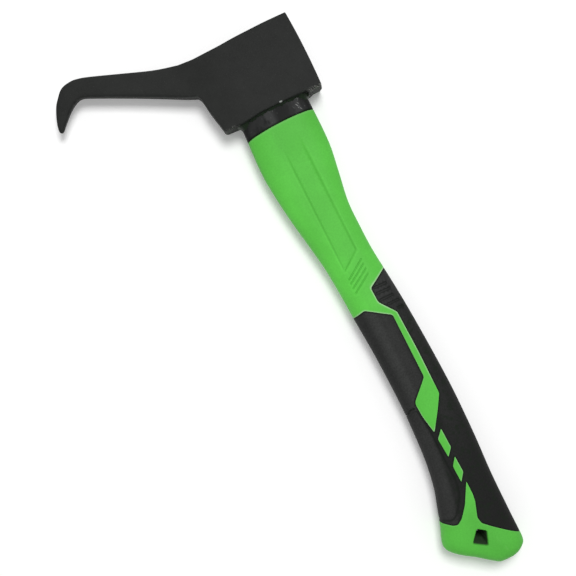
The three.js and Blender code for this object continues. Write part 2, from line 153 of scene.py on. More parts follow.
# The handle's form: each pair is a share of the handle's length and a size or a share there.
SWEEP_SHARES = ((0, 0), (0.104, -0.0775), (0.1673, -0.1475), (0.227, -0.1565), (0.2808, 0.0296),
                (0.335, 0.2333), (0.3893, 0.4355), (0.4485, 0.6172), (0.5269, 0.8345), (0.6374, 1),
                (0.7067, 0.9688), (0.7639, 0.8664), (0.8121, 0.6686), (0.8563, 0.392), (0.8915, 0.1708),
                (0.9226, -0.0433), (1, -0.0433))
SQUARENESS_SHARES = ((0, 3.2), (0.1994, 3), (0.335, 2.6), (0.5007, 2.4), (0.7368, 2.3), (0.9226, 2.6),
                     (1, 2.6))
TOE_FRONT_SHARES = ((0, 0), (0.124, 0.026), (0.271, 0.094), (0.426, 0.1915), (0.562, 0.296), (0.686, 0.375),
                    (0.814, 0.455), (0.911, 0.519), (0.977, 0.56), (1, 0.592))
TOE_BACK_SHARES = ((0, 0), (0.48, 0.001), (0.62, 0.003), (0.717, 0.01), (0.783, 0.025), (0.853, 0.06),
                   (0.9, 0.091), (0.938, 0.121), (0.977, 0.168), (1, 0.217))
TOE_THICKNESS_SHARES = ((0, 1), (0.45, 0.995), (0.65, 0.96), (0.8, 0.88), (0.9, 0.75), (0.97, 0.55),
                        (1, 0.34))

# Outlines on the handle: across it, -1 at the front edge and 1 at the back, and along it.
GRIP_EDGE_SHARES = ((-1.6, 0.4465), (-1.037, 0.4406), (-0.5318, 0.4353), (0.2772, 0.4648), (0.3136, 0.4672),
                    (0.2071, 0.6018), (-0.4901, 0.6376), (-0.5357, 0.6441), (-0.5009, 0.6715),
                    (-0.3472, 0.7094), (0.1382, 0.6695), (0.4353, 0.6435), (0.485, 0.551), (0.5248, 0.4642),
                    (0.0936, 0.4314), (0.1153, 0.4007), (0.965, 0.3762), (1.6, 0.3702), (1.6, 0.972),
                    (1.01, 0.9629), (0.806, 0.9505), (0.659, 0.9411), (0.394, 0.924), (0.134, 0.9077),
                    (0.0613, 0.8945), (0.0972, 0.8813), (0.1495, 0.8635), (0.1496, 0.8487), (0.0737, 0.821),
                    (-0.0833, 0.8443), (-0.1945, 0.8627), (-0.3943, 0.8842), (-0.5323, 0.8919),
                    (-0.6746, 0.8901), (-1.062, 0.8759), (-1.6, 0.8604))
UPPER_WINDOW_SHARES = ((-0.0659, 0.707), (-0.0053, 0.7484), (-0.2268, 0.7645), (-0.3274, 0.7241))
LOWER_WINDOW_SHARES = ((-0.0051, 0.7675), (0.085, 0.8021), (-0.0954, 0.8192), (-0.1989, 0.7843))
HANG_HOLE_SHARES = ((-0.042, 0.9139), (0.2, 0.9261), (0.061, 0.9538), (-0.289, 0.9375))
# How wide the hang hole is on its way down, as a share. It narrows towards its upper corner.
HOLE_THROAT = ((0.07, 0.95), (0.25, 0.86), (0.45, 0.75), (0.65, 0.64), (0.8, 0.55), (0.87, 0.52), (0.94, 0.7))
PANEL_SHARES = ((-0.2391, 0.0588), (0.335, 0.0588), (0.4314, 0.3205), (-0.434, 0.3505))
SLOT_SHARES = (((-0.4882, 0.3686), (0.4187, 0.3395)), ((-0.5038, 0.3774), (0.4049, 0.3496)),
               ((-0.5191, 0.3874), (0.3902, 0.3599)), ((-0.5278, 0.3981), (0.3694, 0.3703)))
RIB_SHARES = (((0.19, 0.4028), (0.78, 0.4035)), ((0.168, 0.415), (0.8, 0.4165)),
              ((0.15, 0.4297), (0.78, 0.43)), ((0.33, 0.443), (0.86, 0.444)), ((0.6, 0.458), (0.88, 0.459)))
NOTCH_SHARES = ((-1.6, 0.69), (-1.05, 0.6612), (-0.95, 0.6562), (-0.875, 0.652), (-0.83, 0.6492),
                (-0.745, 0.648), (-0.6, 0.6492), (-0.6, 0.6538), (-0.72, 0.6528), (-0.79, 0.6532),
                (-0.84, 0.6566), (-0.93, 0.66), (-1.05, 0.6665), (-1.6, 0.696))
PAD_SHARES = ((-1.5, 0.6975), (-1.05, 0.669), (-0.93, 0.6625), (-0.84, 0.6588), (-0.78, 0.6556),
              (-0.7, 0.655), (-0.63, 0.656), (-0.585, 0.661), (-0.55, 0.6744), (-0.515, 0.6872),
              (-0.485, 0.7), (-0.455, 0.715), (-0.44, 0.735), (-0.41, 0.7641), (-0.33, 0.7923),
              (-0.262, 0.8159), (-0.272, 0.8384), (-0.394, 0.8576), (-0.545, 0.876), (-0.668, 0.8799),
              (-0.832, 0.8778), (-0.998, 0.873), (-1.5, 0.862))

# Painted light and shade along the grip, times its base colour: the belly's painted highlight streak (along,
# across, strength), and the spine at its inner and outer edge (along, inner, outer).
BELLY_STREAK = ((0.44, -0.4, 0.95), (0.5275, -0.49, 0.9), (0.6283, -0.51, 0.85), (0.655, -0.6, 0.5),
                (0.68, -0.65, 0.45), (0.87, -0.67, 0.4), (1, -0.68, 0.0))
SPINE_TONES = ((0.37, 2.5, 2.1), (0.425, 2.4, 1.8), (0.46, 1.75, 1.1), (0.62, 1.32, 0.85), (0.7, 1.22, 0.75),
               (0.78, 0.83, 0.77), (0.86, 0.74, 0.72), (1, 0.73, 0.72))
# How far the jacket's top end is crowned: top - fall (across - centre)^2, in millimetres.
CROWN_TOP, CROWN_FALL, CROWN_CENTRE = 1.15, 1.45, 0.2
# Points nearer to each other than this after a cut are one point.
SLIVER = 0.004 * MM
# The head's underside over the neck: depth of its hollow and height of the lip beside it, and where each
# sets in and ends across the tool, in millimetres.
MOUTH_HOLLOW, HOLLOW_SPAN = 1.2, ((-20, -6), (23.6, 25.4))
MOUTH_LIP, LIP_SPAN = 1.1, ((24, 25.6), (26, 30.5))

# The head's top edge, from the poll to the arm: shares of the hook's reach and of the top's hollow.
TOP_EDGE_SHARES = ((0.15, 0.28), (0.06, 0.11), (-0.03, -0.22), (-0.12, -0.94), (-0.21, -0.83),
                   (-0.2545, -0.5), (-0.2994, 0.44))
# The hook: shares of the head's reach and rise.
ARM_TOP_SHARES = ((-0.3274, 0.553), (-0.4513, 0.6467), (-0.5996, 0.7954), (-0.7479, 0.9459),
                  (-0.8013, 0.9882), (-0.8363, 1), (-0.8785, 0.9857), (-0.9068, 0.947), (-0.9332, 0.8732),
                  (-0.9581, 0.7894), (-0.98, 0.6693), (-0.9945, 0.5574), (-1, 0.4855))
BEAK_TIP_SHARES = ((-1, 0.4855), (-0.9981, 0.4491), (-0.9887, 0.4326), (-0.9765, 0.4487))
THROAT_SHARES = ((-0.9765, 0.4487), (-0.9543, 0.5129), (-0.9171, 0.6092), (-0.8875, 0.6725),
                 (-0.8614, 0.7135), (-0.8384, 0.7318), (-0.8178, 0.7262), (-0.7963, 0.7037))
ARM_FOOT_SHARES = ((-0.7963, 0.7037), (-0.6845, 0.5609), (-0.5333, 0.3587), (-0.3807, 0.1478),
                   (-0.3208, 0.075))
BREAST_TOP_SHARES = ((-0.3208, 0.075), (-0.3105, 0.0655), (-0.3027, 0.0425), (-0.2953, -0.0148),
                     (-0.287, -0.1915))
# The head seen from above: shares of the hook's reach and of the head's thickness there.
PLAN_SHARES = ((-1.02, 0.15), (-0.94, 0.25), (-0.86, 0.31), (-0.75, 0.35), (-0.53, 0.4),
               (-0.39, 0.45), (-0.33, 0.52), (-0.28, 0.64), (-0.23, 0.79), (-0.18, 0.92),
               (-0.13, 0.985), (-0.08, 1), (0.3, 1))

# Outlines on the handle: name, points, corner radius and least spacing in millimetres.
OUTLINES = (("grip", GRIP_EDGE_SHARES, 1.1, 0.7), ("window_0", UPPER_WINDOW_SHARES, 0.8, 0.5),
            ("window_1", LOWER_WINDOW_SHARES, 0.8, 0.5), ("panel", PANEL_SHARES, 0.6, 0.45),
            ("notch", NOTCH_SHARES, 0.8, 0.7), ("pad", PAD_SHARES, 2.5, 0.7))
SEAM_LINES = ("grip", "window_0", "window_1")
# The corner radius of slots and ribs in millimetres, and the step at which outlines are first drawn.
BAND_CORNER = 0.55
LINE_STEP = 0.2 * MM
# Rings of points beside each kind of line, in millimetres inside it, or outside it below 0. The lines of
# the seam take theirs from its rounding.
RINGS = {"grip": (), "window": (), "hole": (-0.3, -0.9), "panel": (0.45, 0.9, -0.9, -1.7, -2.5),
         "slot": (0.2, 0.4), "rib": (0.25, 0.5, 0.8), "notch": (0.35, -0.4), "pad": (-0.45, -1.0, 0.45, 1.0)}
# A ring's points are left out where they come nearer to the line than this share of its distance.
CLEAR_SHARE = 0.93
# How finely the handle is divided, and how many points are tried at a time.
ROWS_ABOVE_TOE, ROWS_IN_TOE, TOE_CROWDING, COLUMNS = 186, 42, 1.6, 40
FILL_BLOCK = 400
# Rows close under the jacket's top, in millimetres, and how clear of lines the other points stay.
TOP_ROWS, MAP_CLEAR = (0.15, 0.45), 0.42 * MM
# Rings of points beside the seam besides those of its rounding, in millimetres.
SEAM_RINGS = (0.85, 1.4)
# How near to the map's edge, or to a line, a point counts as on it.
ON_EDGE, ON_LINE = 0.0001 * MM, 0.001 * MM
# How fast outlines run on past the map, and the least half width and thickness under the surface.
PAST_EDGE = 0.4
LEAST_HALF = 0.05 * MM

# A start that lies before the whole length, and an end that lies past it.
ALWAYS, NEVER = (-2, -1), (2, 3)
# Painted light and shade at places on the jacket: gain, further gain across, where it sets in and ends
# along, and where the further gain sets in across.
JACKET_PAINTED_LIGHT = ((0.03, 0.07, (0.29, 0.35), (0.42, 0.46), (0.5, -0.3)),
                 (0, -0.11, (0.86, 0.9), NEVER, (-0.6, 0)),
                 (0, 0.06, ALWAYS, (0.44, 0.5), (-0.25, -0.4)),
                 (0, 0.05, (0.1, 0.2), (0.36, 0.42), (-0.55, -0.75)),
                 (0, 0.08, ALWAYS, NEVER, (-0.8, -0.97)))

# The camera looks straight down at the tool. Its axis meets the tool's middle plane here.
VIEW_POINT = Vector((-42.75 * MM, -136.2 * MM, MIDDLE))
VIEW_DISTANCE = 800 * MM
FRAME_WIDTH = 382 * MM
SENSOR_WIDTH = 36.0
UP = Vector((0, 0, 1))
UP_IN_VIEW = Vector((0.43842, 0.89877, 0))
RIGHT_IN_VIEW = UP_IN_VIEW.cross(UP)
# The key light: size and distance in metres, lean to the right and the top of the picture, and power.
LIGHT_SIZE = 0.68
LIGHT_DISTANCE = 2.2
LIGHT_LEAN = Vector((0.06, 0.35))
KEY_WATTS = 30
# Brightness of the room, glow of the floor, and the floor's half width and depth under the tool in metres.
ROOM_LIGHT = 0.42
FLOOR_GLOW = 0.15
FLOOR_REACH = 1.5
FLOOR_DROP = 0.05 * MM

# Small forms and steps that are the same for every size.
CROWN_FADE = 9 * MM
POCKET_GAP = 0.1 * MM
POLL_CORNER = 0.8 * MM
# The head's mesh: spacing of points on its outline, the least kept there, spacing and clearance of those on
# its cheeks, rings beside the outline as shares of the edge's radius, and steps down its rim.
OUTLINE_STEP, OUTLINE_LEAST = 1.1 * MM, 0.3 * MM
HEAD_STEP, HEAD_CLEAR = 2.2 * MM, 0.9 * MM
RIM_RINGS = (0.08, 0.3, 0.6, 1.0)
RIM_STEPS = 6
EYE_POINTS, NECK_POINTS = 128, 240
# The bead, down its height: shares of its height, of its reach across and of its reach on the faces.
BEAD_PROFILE = ((0, 1, 1), (0.1, 0.86, 0.95), (0.22, 0.6, 0.85), (0.38, 0.36, 0.72), (0.6, 0.17, 0.5),
                (0.82, 0.06, 0.22), (1, 0.0, 0.02))
# Lumps along the bead: rise, waves across, phase and lean.
BEAD_LUMPS = ((0.26, 0.9, 1.1, 0.3), (0.2, 2.3, 0.4, -0.5), (0.2, 4.9, 0, 0.7))
# The fill of the eye: its depth, and from its wall inwards the distance and the rise, in millimetres.
FILL_DEPTH = 1.6
FILL_PROFILE = ((0.05, 0.75), (0.25, 0.5), (0.6, 0.26), (1.1, 0.1), (2, 0.02), (4, 0), (6, 0), (8, 0))


def read_curve(pairs, places):
    """Smooth values of a table of (place, value) pairs."""
    at, value = np.array(pairs, float).T
    last = len(at) - 1
    after = np.minimum(np.arange(last + 1) + 1, last)
    before = np.maximum(np.arange(last + 1) - 1, 0)
    slope = (value[after] - value[before]) / (at[after] - at[before])
    places = np.asarray(places, float)
    k = np.clip(np.searchsorted(at, places) - 1, 0, last - 1)
    span = at[k + 1] - at[k]
    t = np.clip((places - at[k]) / span, 0, 1)
    rise = (t ** 3 - 2 * t ** 2 + t) * span * slope[k] + (t ** 3 - t ** 2) * span * slope[k + 1]
    return (2 * t ** 3 - 3 * t ** 2 + 1) * value[k] + (3 * t ** 2 - 2 * t ** 3) * value[k + 1] + rise


def smooth_line(points, steps):
    """Points of a smooth line through the given ones."""
    points = np.array(points, float)
    last = len(points) - 1
    found = []
    for k in range(last):
        a, b = points[max(k - 1, 0)], points[k]
        c, d = points[k + 1], points[min(k + 2, last)]
        for t in np.arange(steps) / steps:
            u, v = (c - a) / 2, (d - b) / 2
            found.append((2 * b - 2 * c + u + v) * t ** 3 + (3 * c - 3 * b - 2 * u - v) * t ** 2 + u * t + b)
    return np.array(found + [points[last]])


def bend(start, pull, end, steps):
    """Points of a quadratic curve."""
    t = np.linspace(0, 1, steps + 1)[:, None]
    start, pull, end = (np.array(p, float) for p in (start, pull, end))
    return (1 - t) ** 2 * start + 2 * t * (1 - t) * pull + t ** 2 * end


def evenly(points, step):
    """The same closed line with points a set step apart, its corners kept."""
    found = []
    for a, b in zip(points, np.roll(points, -1, axis=0)):
        count = max(int(round(np.linalg.norm(b - a) / step)), 1)
        found.extend(a + (b - a) * k / count for k in range(count))
    return np.array(found)


def softened(points, radius, steps=5):
    """A closed outline with its corners rounded."""
    points = np.array(points, float)
    found = []
    for k, corner in enumerate(points):
        before, after = points[k - 1], points[(k + 1) % len(points)]
        into, out = before - corner, after - corner
        reach_in = min(radius, np.linalg.norm(into) * 0.45)
        reach_out = min(radius, np.linalg.norm(out) * 0.45)
        start = corner + into / np.linalg.norm(into) * reach_in
        end = corner + out / np.linalg.norm(out) * reach_out
        found.extend(bend(start, corner, end, steps))
    return np.array(found)


def distance_to(points, line):
    """Distance of each point from a closed line."""
    best = np.full(len(points), np.inf)
    for p, q in zip(line, np.roll(line, -1, axis=0)):
        way = q - p
        t = np.clip(((points - p) @ way) / max(way @ way, 1e-18), 0, 1)
        best = np.minimum(best, np.hypot(*(points - p - t[:, None] * way).T))
    return best


def inside(points, line):
    """Whether each point lies inside a closed line."""
    within = np.zeros(len(points), bool)
    x, y = points.T
    for (ax, ay), (bx, by) in zip(line, np.roll(line, -1, axis=0)):
        crosses = (ay > y) != (by > y)
        if crosses.any():
            within ^= crosses & (x < (bx - ax) * (y - ay) / (by - ay + 1e-30) + ax)
    return within


def rounding(distance, radius):
    """How far a rounded edge falls away at a distance from it."""
    short = np.clip(1 - distance / radius, 0, 1)
    return radius * (1 - np.sqrt(1 - short ** 2))


def ease(value, low, high):
    """0 below low, 1 above high, and smooth between."""
    t = np.clip((value - low) / (high - low), 0, 1)
    return t * t * (3 - 2 * t)


def lasting(place, starts, ends):
    """1 between where a stretch sets in and where it ends, and 0 outside it."""
    return ease(place, *starts) * (1 - ease(place, *ends))


@contextmanager
def opened(mesh):
    """The mesh's points, edges and faces, open for changes."""
    body = bmesh.new()
    body.from_mesh(mesh)
    yield body
    body.to_mesh(mesh)
    body.free()


def closed_mesh(name, points, faces):
    """A mesh with its open ends filled and its faces turned outwards."""
    mesh = bpy.data.meshes.new(name)
    mesh.from_pydata(points.tolist(), [], faces)
    with opened(mesh) as body:
        open_ends = [e for e in body.edges if e.is_boundary]
        if open_ends:
            bmesh.ops.holes_fill(body, edges=open_ends, sides=0)
        bmesh.ops.recalc_face_normals(body, faces=body.faces)
        if any(not e.is_manifold for e in body.edges):
            raise RuntimeError(f"{name} isn't closed")
    return mesh


def add_object(name, data):
    """A new object in the scene."""
    made = bpy.data.objects.new(name, data)
    bpy.context.scene.collection.objects.link(made)
    return made


def set_values(mesh, key, values):
    """Gives the mesh's points numbers that its finish reads."""
    mesh.attributes.new(key, "FLOAT", "POINT").data.foreach_set("value", np.array(values, np.float32))


def smooth(mesh, sharp_degrees):
    """Smooth shading, with edges sharp from an angle on."""
    mesh.shade_smooth()
    mesh.set_sharp_from_angle(angle=math.radians(sharp_degrees))


def new_piece(name, points, faces, sharp_degrees, values=None):
    """A closed object in the part's frame, kept inside the solid model's box."""
    mesh = closed_mesh(name, np.clip(points, *np.array(CAD_BOX)), faces)
    for key, numbers in (values or {}).items():
        set_values(mesh, key, numbers)
    smooth(mesh, sharp_degrees)
    return add_object(name, mesh)


def dress(piece, material, slot, *nodes):
    """Gives a piece its finish, hangs it under the root body and hides the solid parts that it stands for."""
    piece.data.materials.clear()
    piece.data.materials.append(material)
    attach(piece, "root")
    if nodes:
        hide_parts(*nodes)


def oval(angle, half_width, half_thickness, power):
    """Points round an oval section, which is squarer the more its power is above 2."""
    c, s = np.cos(angle), np.sin(angle)
    x = np.sign(c) * np.abs(c) ** (2 / power) * half_width
    return x, np.sign(s) * np.abs(s) ** (2 / power) * half_thickness


def oval_ring(y, centre, half_width, half_thickness, power, count):
    """A closed ring of points at one height."""
    x, z = oval(np.arange(count) / count * 2 * math.pi, half_width, half_thickness, power)
    return np.stack([centre + x, np.full(count, y), MIDDLE + z], axis=1)


class Handle:
    """The handle's surface: a section at each height, and a flat map of its upper half.

    The map's first axis runs round the section from the back edge to the front edge, and
    its second is the height.
    """
    span = 56 * MM
    # Where the way round is measured: shares of the length, closer together in the toe, and turns.
    stations = np.concatenate([np.linspace(0, 0.92, 185), np.linspace(0.9205, 1, 80)])
    around = np.linspace(0, 1, 241)

    def __init__(self, sizes):
        self.sizes = sizes
        self.length = HEAD_FOOT - SHAFT_FOOT
        self.toe = 1 - sizes.toe_length / self.length
        shoulder, waist, palm, butt = (sizes.shoulder_width, sizes.waist_width, sizes.palm_width,
                                       sizes.butt_width)

        def mix(first, last, share):
            return first + (last - first) * share

        self.widths = ((0, sizes.neck_width), (0.104, shoulder), (0.1673, mix(shoulder, waist, 0.29)),
                       (0.227, mix(shoulder, waist, 0.66)), (0.2808, mix(shoulder, waist, 0.87)),
                       (0.335, waist), (0.4485, sizes.grip_width), (0.5269, sizes.grip_width),
                       (0.7368, palm), (0.8121, mix(palm, butt, 0.155)), (0.8563, mix(palm, butt, 0.427)),
                       (0.8915, mix(palm, butt, 0.685)), (0.9226, mix(palm, butt, 0.935)), (1, butt))
        self.thicknesses = ((0, sizes.neck_thickness), (0.119, sizes.neck_thickness),
                            (0.335, sizes.waist_thickness), (0.5269, sizes.grip_thickness),
                            (0.7619, sizes.grip_thickness), (0.9126, THICKNESS), (1, THICKNESS))
        self.reach_table = self.measure()

    def along(self, y):
        """Share of the handle's length at a height."""
        return (HEAD_FOOT - y) / self.length

    def section(self, along):
        """Centre, half width, half thickness and squareness at shares of the length."""
        wide = read_curve(self.widths, along)
        centre = self.sizes.sweep * read_curve(SWEEP_SHARES, along)
        down = np.clip((along - self.toe) / (1 - self.toe), 0, 1)
        front = centre - wide / 2 + self.sizes.butt_width * read_curve(TOE_FRONT_SHARES, down)
        back = centre + wide / 2 - self.sizes.butt_width * read_curve(TOE_BACK_SHARES, down)
        thick = np.minimum(read_curve(self.thicknesses, along), THICKNESS) / 2
        thick = thick * read_curve(TOE_THICKNESS_SHARES, down)
        return (front + back) / 2, (back - front) / 2, thick, read_curve(SQUARENESS_SHARES, along)

    @staticmethod
    def angle(turn):
        """Angle round the section for a turn from 0 to 1, crowded where the section is flat."""
        quarter = np.minimum(np.floor(turn * 2), 1)
        part = turn * 2 - quarter
        return (quarter + part * part * (3 - 2 * part)) * math.pi / 2

    @staticmethod
    def turn(angle):
        """The turn that gives an angle."""
        quarter = np.minimum(np.floor(angle / (math.pi / 2)), 1)
        part = np.clip(angle / (math.pi / 2) - quarter, 0, 1)
        return (quarter + 0.5 - np.sin(np.arcsin(1 - 2 * part) / 3)) / 2

    def measure(self):
        """How far round each station's section each turn has come, as a share."""
        rows = []
        for along in self.stations:
            _, half_width, half_thickness, power = self.section(along)
            x, z = oval(self.angle(self.around), half_width, half_thickness, power)
            steps = np.hypot(np.diff(x), np.diff(z))
            rows.append(np.concatenate([[0], np.cumsum(steps)]) / steps.sum())
        return np.array(rows)

    def look_up(self, values, along, to_turn):
        """Turns for shares of the way round, or the other way about, between the measured stations."""
        found = np.empty(len(values))
        k = np.clip(np.searchsorted(self.stations, along) - 1, 0, len(self.stations) - 2)
        t = np.clip((along - self.stations[k]) / (self.stations[k + 1] - self.stations[k]), 0, 1)
        for row in np.unique(k):
            pick = k == row
            pairs = [(shares, self.around) for shares in self.reach_table[row:row + 2]]
            low, high = (np.interp(values[pick], *(pair if to_turn else pair[::-1])) for pair in pairs)
            found[pick] = low + (high - low) * t[pick]
        return found

    def on_plan(self, shares):
        """Plan points, X and Y, of outline points given as shares."""
        across, along = np.array(shares, float).T
        centre = self.sizes.sweep * read_curve(SWEEP_SHARES, along)
        return np.stack([centre + across * read_curve(self.widths, along) / 2,
                         HEAD_FOOT - along * self.length], axis=1)

    def to_map(self, plan):
        """Map points of plan points on the upper face; outside the outline they run on past the map."""
        along = self.along(plan[:, 1])
        centre, half_width, _, power = self.section(along)
        across = (plan[:, 0] - centre) / half_width
        within = np.clip(across, -1, 1)
        angle = np.arccos(np.sign(within) * np.abs(within) ** (power / 2))
        share = self.look_up(self.turn(angle), along, False)
        past = np.clip(np.abs(across) - 1, 0, None) * -np.sign(across) * PAST_EDGE
        return np.stack([(share + past) * self.span, plan[:, 1]], axis=1)

    def spot(self, flat):
        """Share of the length and angle round the section at map points."""
        along = np.clip(self.along(flat[:, 1]), 0, 1)
        return along, self.angle(self.look_up(np.clip(flat[:, 0] / self.span, 0, 1), along, True))

    def across(self, flat):
        """How far across the tool map points lie, from -1 at the front edge to 1 at the back."""
        along, angle = self.spot(flat)
        return oval(angle, 1, 1, read_curve(SQUARENESS_SHARES, along))[0]

    def place(self, flat, drop):
        """Points of the upper half at map points, each dropped below the surface."""
        along, angle = self.spot(flat)
        centre, half_width, half_thickness, power = self.section(along)
        x, z = oval(angle, np.maximum(half_width - drop, LEAST_HALF),
                    np.maximum(half_thickness - drop, LEAST_HALF), power)
        return np.stack([centre + x, flat[:, 1], MIDDLE + z], axis=1)

    def crowned(self, points):
        """The jacket's points with its top end crowned."""
        centre, half_width, _, _ = self.section(self.along(points[:, 1]))
        fade = 1 - ease(JACKET_TOP - points[:, 1], 0, CROWN_FADE)
        rise = crown(np.clip((points[:, 0] - centre) / half_width, -1, 1)) * fade
        return points + np.outer(rise, (0, 1, 0))


def crown(across):
    """How far the jacket's top end stands above a straight cut, at shares across it."""
    return (CROWN_TOP - CROWN_FALL * (across - CROWN_CENTRE) ** 2) * MM


def mouth_rise(x):
    """How far the head's underside stands above its flat foot, along the tool's width."""
    return (MOUTH_HOLLOW * lasting(x / MM, *HOLLOW_SPAN) - MOUTH_LIP * lasting(x / MM, *LIP_SPAN)) * MM


def thinned(line, least):
    """The closed line without points closer together than the least distance."""
    kept = [0]
    for k in range(1, len(line)):
        if np.linalg.norm(line[k] - line[kept[-1]]) >= least:
            kept.append(k)
    return line[kept]


def ring_beside(line, distance):
    """A closed line moved inwards by a distance at each point, or outwards where it is below 0."""
    ahead = np.roll(line, -1, axis=0) - np.roll(line, 1, axis=0)
    normal = np.stack([ahead[:, 1], -ahead[:, 0]], axis=1)
    normal /= np.linalg.norm(normal, axis=1)[:, None] + 1e-12
    x, y = line.T
    turn = np.sign(np.sum(x * np.roll(y, -1) - np.roll(x, -1) * y))
    return line - normal * turn * np.broadcast_to(distance, len(line))[:, None]


class Map:
    """Points and kept edges that are to be triangulated."""

    def __init__(self):
        self.points = []
        self.edges = []

    def line(self, points, keep=None):
        """Adds a closed line of edges, without the points that aren't kept."""
        first = sum(len(p) for p in self.points)
        count = len(points)
        keep = np.ones(count, bool) if keep is None else keep
        index = np.cumsum(keep) - 1 + first
        for k in range(count):
            after = (k + 1) % count
            if keep[k] and keep[after]:
                self.edges.append((int(index[k]), int(index[after])))
        self.points.append(points[keep])

    def beside(self, line, distance):
        """Adds a ring beside a line, left out where it comes too near to the line."""
        ring = ring_beside(line, distance)
        self.line(ring, distance_to(ring, line) > np.abs(distance) * CLEAR_SHARE)

    def loop(self, line, distances):
        """Adds a closed line with rings beside it, inside it or outside where the distance is below 0."""
        self.line(line)
        for distance in distances:
            self.beside(line, distance * MM)

    def fill(self, points, clear):
        """Adds points that lie clear of every line so far."""
        lines = np.concatenate(self.points)
        keep = np.ones(len(points), bool)
        for start in range(0, len(points), FILL_BLOCK):
            block = points[start:start + FILL_BLOCK]
            gap = np.hypot(block[:, None, 0] - lines[None, :, 0], block[:, None, 1] - lines[None, :, 1])
            keep[start:start + FILL_BLOCK] = gap.min(axis=1) > clear
        self.points.append(points[keep])

    def triangles(self):
        """All points, and triangles over them that keep the edges."""
        spots = [Vector(p) for p in np.concatenate(self.points)]
        found = delaunay_2d_cdt(spots, self.edges, [], 0, 1e-9)
        return np.array([(v.x, v.y) for v in found[0]]), np.array([f for f in found[2] if len(f) == 3])


def band(handle, line, width):
    """The plan outline of a straight band."""
    a, b = handle.on_plan(line)
    aside = np.array([a[1] - b[1], b[0] - a[0]])
    aside = aside / np.linalg.norm(aside) * width / 2
    return np.array([a + aside, a - aside, b - aside, b + aside])


def handle_outlines(handle):
    """Closed lines on the map, by name."""
    sizes = handle.sizes
    plans = {name: (handle.on_plan(shares), corner, least) for name, shares, corner, least in OUTLINES}
    plans["hole"] = (handle.on_plan(HANG_HOLE_SHARES), sizes.hole_corner / MM, 0.5)
    for name, table, width, least in (("slot", SLOT_SHARES, sizes.slot_width, 0.5),
                                      ("rib", RIB_SHARES, sizes.rib_width, 0.6)):
        for k, line in enumerate(table):
            plans[f"{name}_{k}"] = (band(handle, line, width), BAND_CORNER, least)
    return {name: thinned(handle.to_map(evenly(softened(plan, corner * MM), LINE_STEP)), least * MM)
            for name, (plan, corner, least) in plans.items()}


def handle_map(handle, lines):
    """The flat triangulation of the upper half of the handle."""
    top, foot, span = JACKET_TOP, SHAFT_FOOT, handle.span
    toe = HEAD_FOOT - handle.toe * handle.length
    rows = list(np.linspace(top, toe, ROWS_ABOVE_TOE))
    rows += [toe + (foot - toe) * (1 - (1 - t) ** TOE_CROWDING) for t in np.linspace(0, 1, ROWS_IN_TOE)[1:]]
    rows[1:1] = [top - down * MM for down in TOP_ROWS]
    rows = np.array(rows)
    border = [(x, top) for x in np.linspace(0, span, COLUMNS + 1)]
    border += [(span, y) for y in rows[1:-1]]
    border += [(x, foot) for x in np.linspace(span, 0, COLUMNS + 1)]
    border += [(0, y) for y in rows[-2:0:-1]]
    flat = Map()
    flat.line(np.array(border))
    seam_round = handle.sizes.seam_round / MM
    seam_rings = [d * side for d in (seam_round * 0.3, seam_round, *SEAM_RINGS) for side in (-1, 1)]
    for kind, rings in RINGS.items():
        for name in lines:
            if name.split("_")[0] == kind:
                flat.loop(lines[name], rings or seam_rings)
    grid = [((c + 0.5 + 0.5 * (k % 2)) / (COLUMNS + 1) * span, y) for k, y in enumerate(rows[1:-1])
            for c in range(COLUMNS)]
    flat.fill(np.array(grid), MAP_CLEAR)
    points, triangles = flat.triangles()
    for edge in (0, span):
        points[np.abs(points[:, 0] - edge) < ON_EDGE, 0] = edge
    x, y = points[triangles].mean(axis=1).T
    return points, triangles[(x > 0) & (x < span) & (y < top) & (y > foot)]


def open_edges(triangles):
    """Each edge of the triangles that only one of them has, in its direction."""
    edges = {}
    for a, b in np.concatenate([triangles[:, [0, 1]], triangles[:, [1, 2]], triangles[:, [2, 0]]]).tolist():
        if (b, a) in edges:
            del edges[(b, a)]
        else:
            edges[(a, b)] = True
    return list(edges)


def mirrored(points):
    """The points on the tool's other face."""
    return points * (1, 1, -1) + (0, 0, 2 * MIDDLE)


class Shell:
    """Gathers the points and faces of a piece whose lower half mirrors its upper half."""

    def __init__(self, on_seam):
        self.on_seam = on_seam
        self.points = []
        self.faces = []
        self.values = {}
        self.count = 0

    def ring(self, used, points, **values):
        """Adds some of the points; returns the index of each, or -1."""
        index = np.full(len(self.on_seam), -1)
        index[used] = self.count + np.arange(len(used))
        self.points.append(points[used])
        self.count += len(used)
        for key, numbers in values.items():
            self.values.setdefault(key, []).append(np.broadcast_to(numbers, len(index))[used])
        return index

    def layer(self, used, upper, **values):
        """Adds points and their mirror images, which share those on the seam; returns both indexes."""
        above = self.ring(used, upper, **values)
        below = self.ring(used[~self.on_seam[used]], mirrored(upper), **values)
        return above, np.where(below < 0, above, below)

    def skin(self, layer, triangles):
        """Covers both faces of the tool with triangles."""
        self.faces += layer[0][triangles].tolist() + layer[1][triangles[:, ::-1]].tolist()

    def wall(self, edges, rails):
        """Quads under each edge, from rail to rail."""
        for a, b in edges:
            for upper, lower in zip(rails, rails[1:]):
                self.faces.append([int(upper[b]), int(upper[a]), int(lower[a]), int(lower[b])])

    def piece(self, name, sharp_degrees):
        """The gathered points and faces as a closed object."""
        values = {key: np.concatenate(parts) for key, parts in self.values.items()}
        return new_piece(name, np.concatenate(self.points), self.faces, sharp_degrees, values)


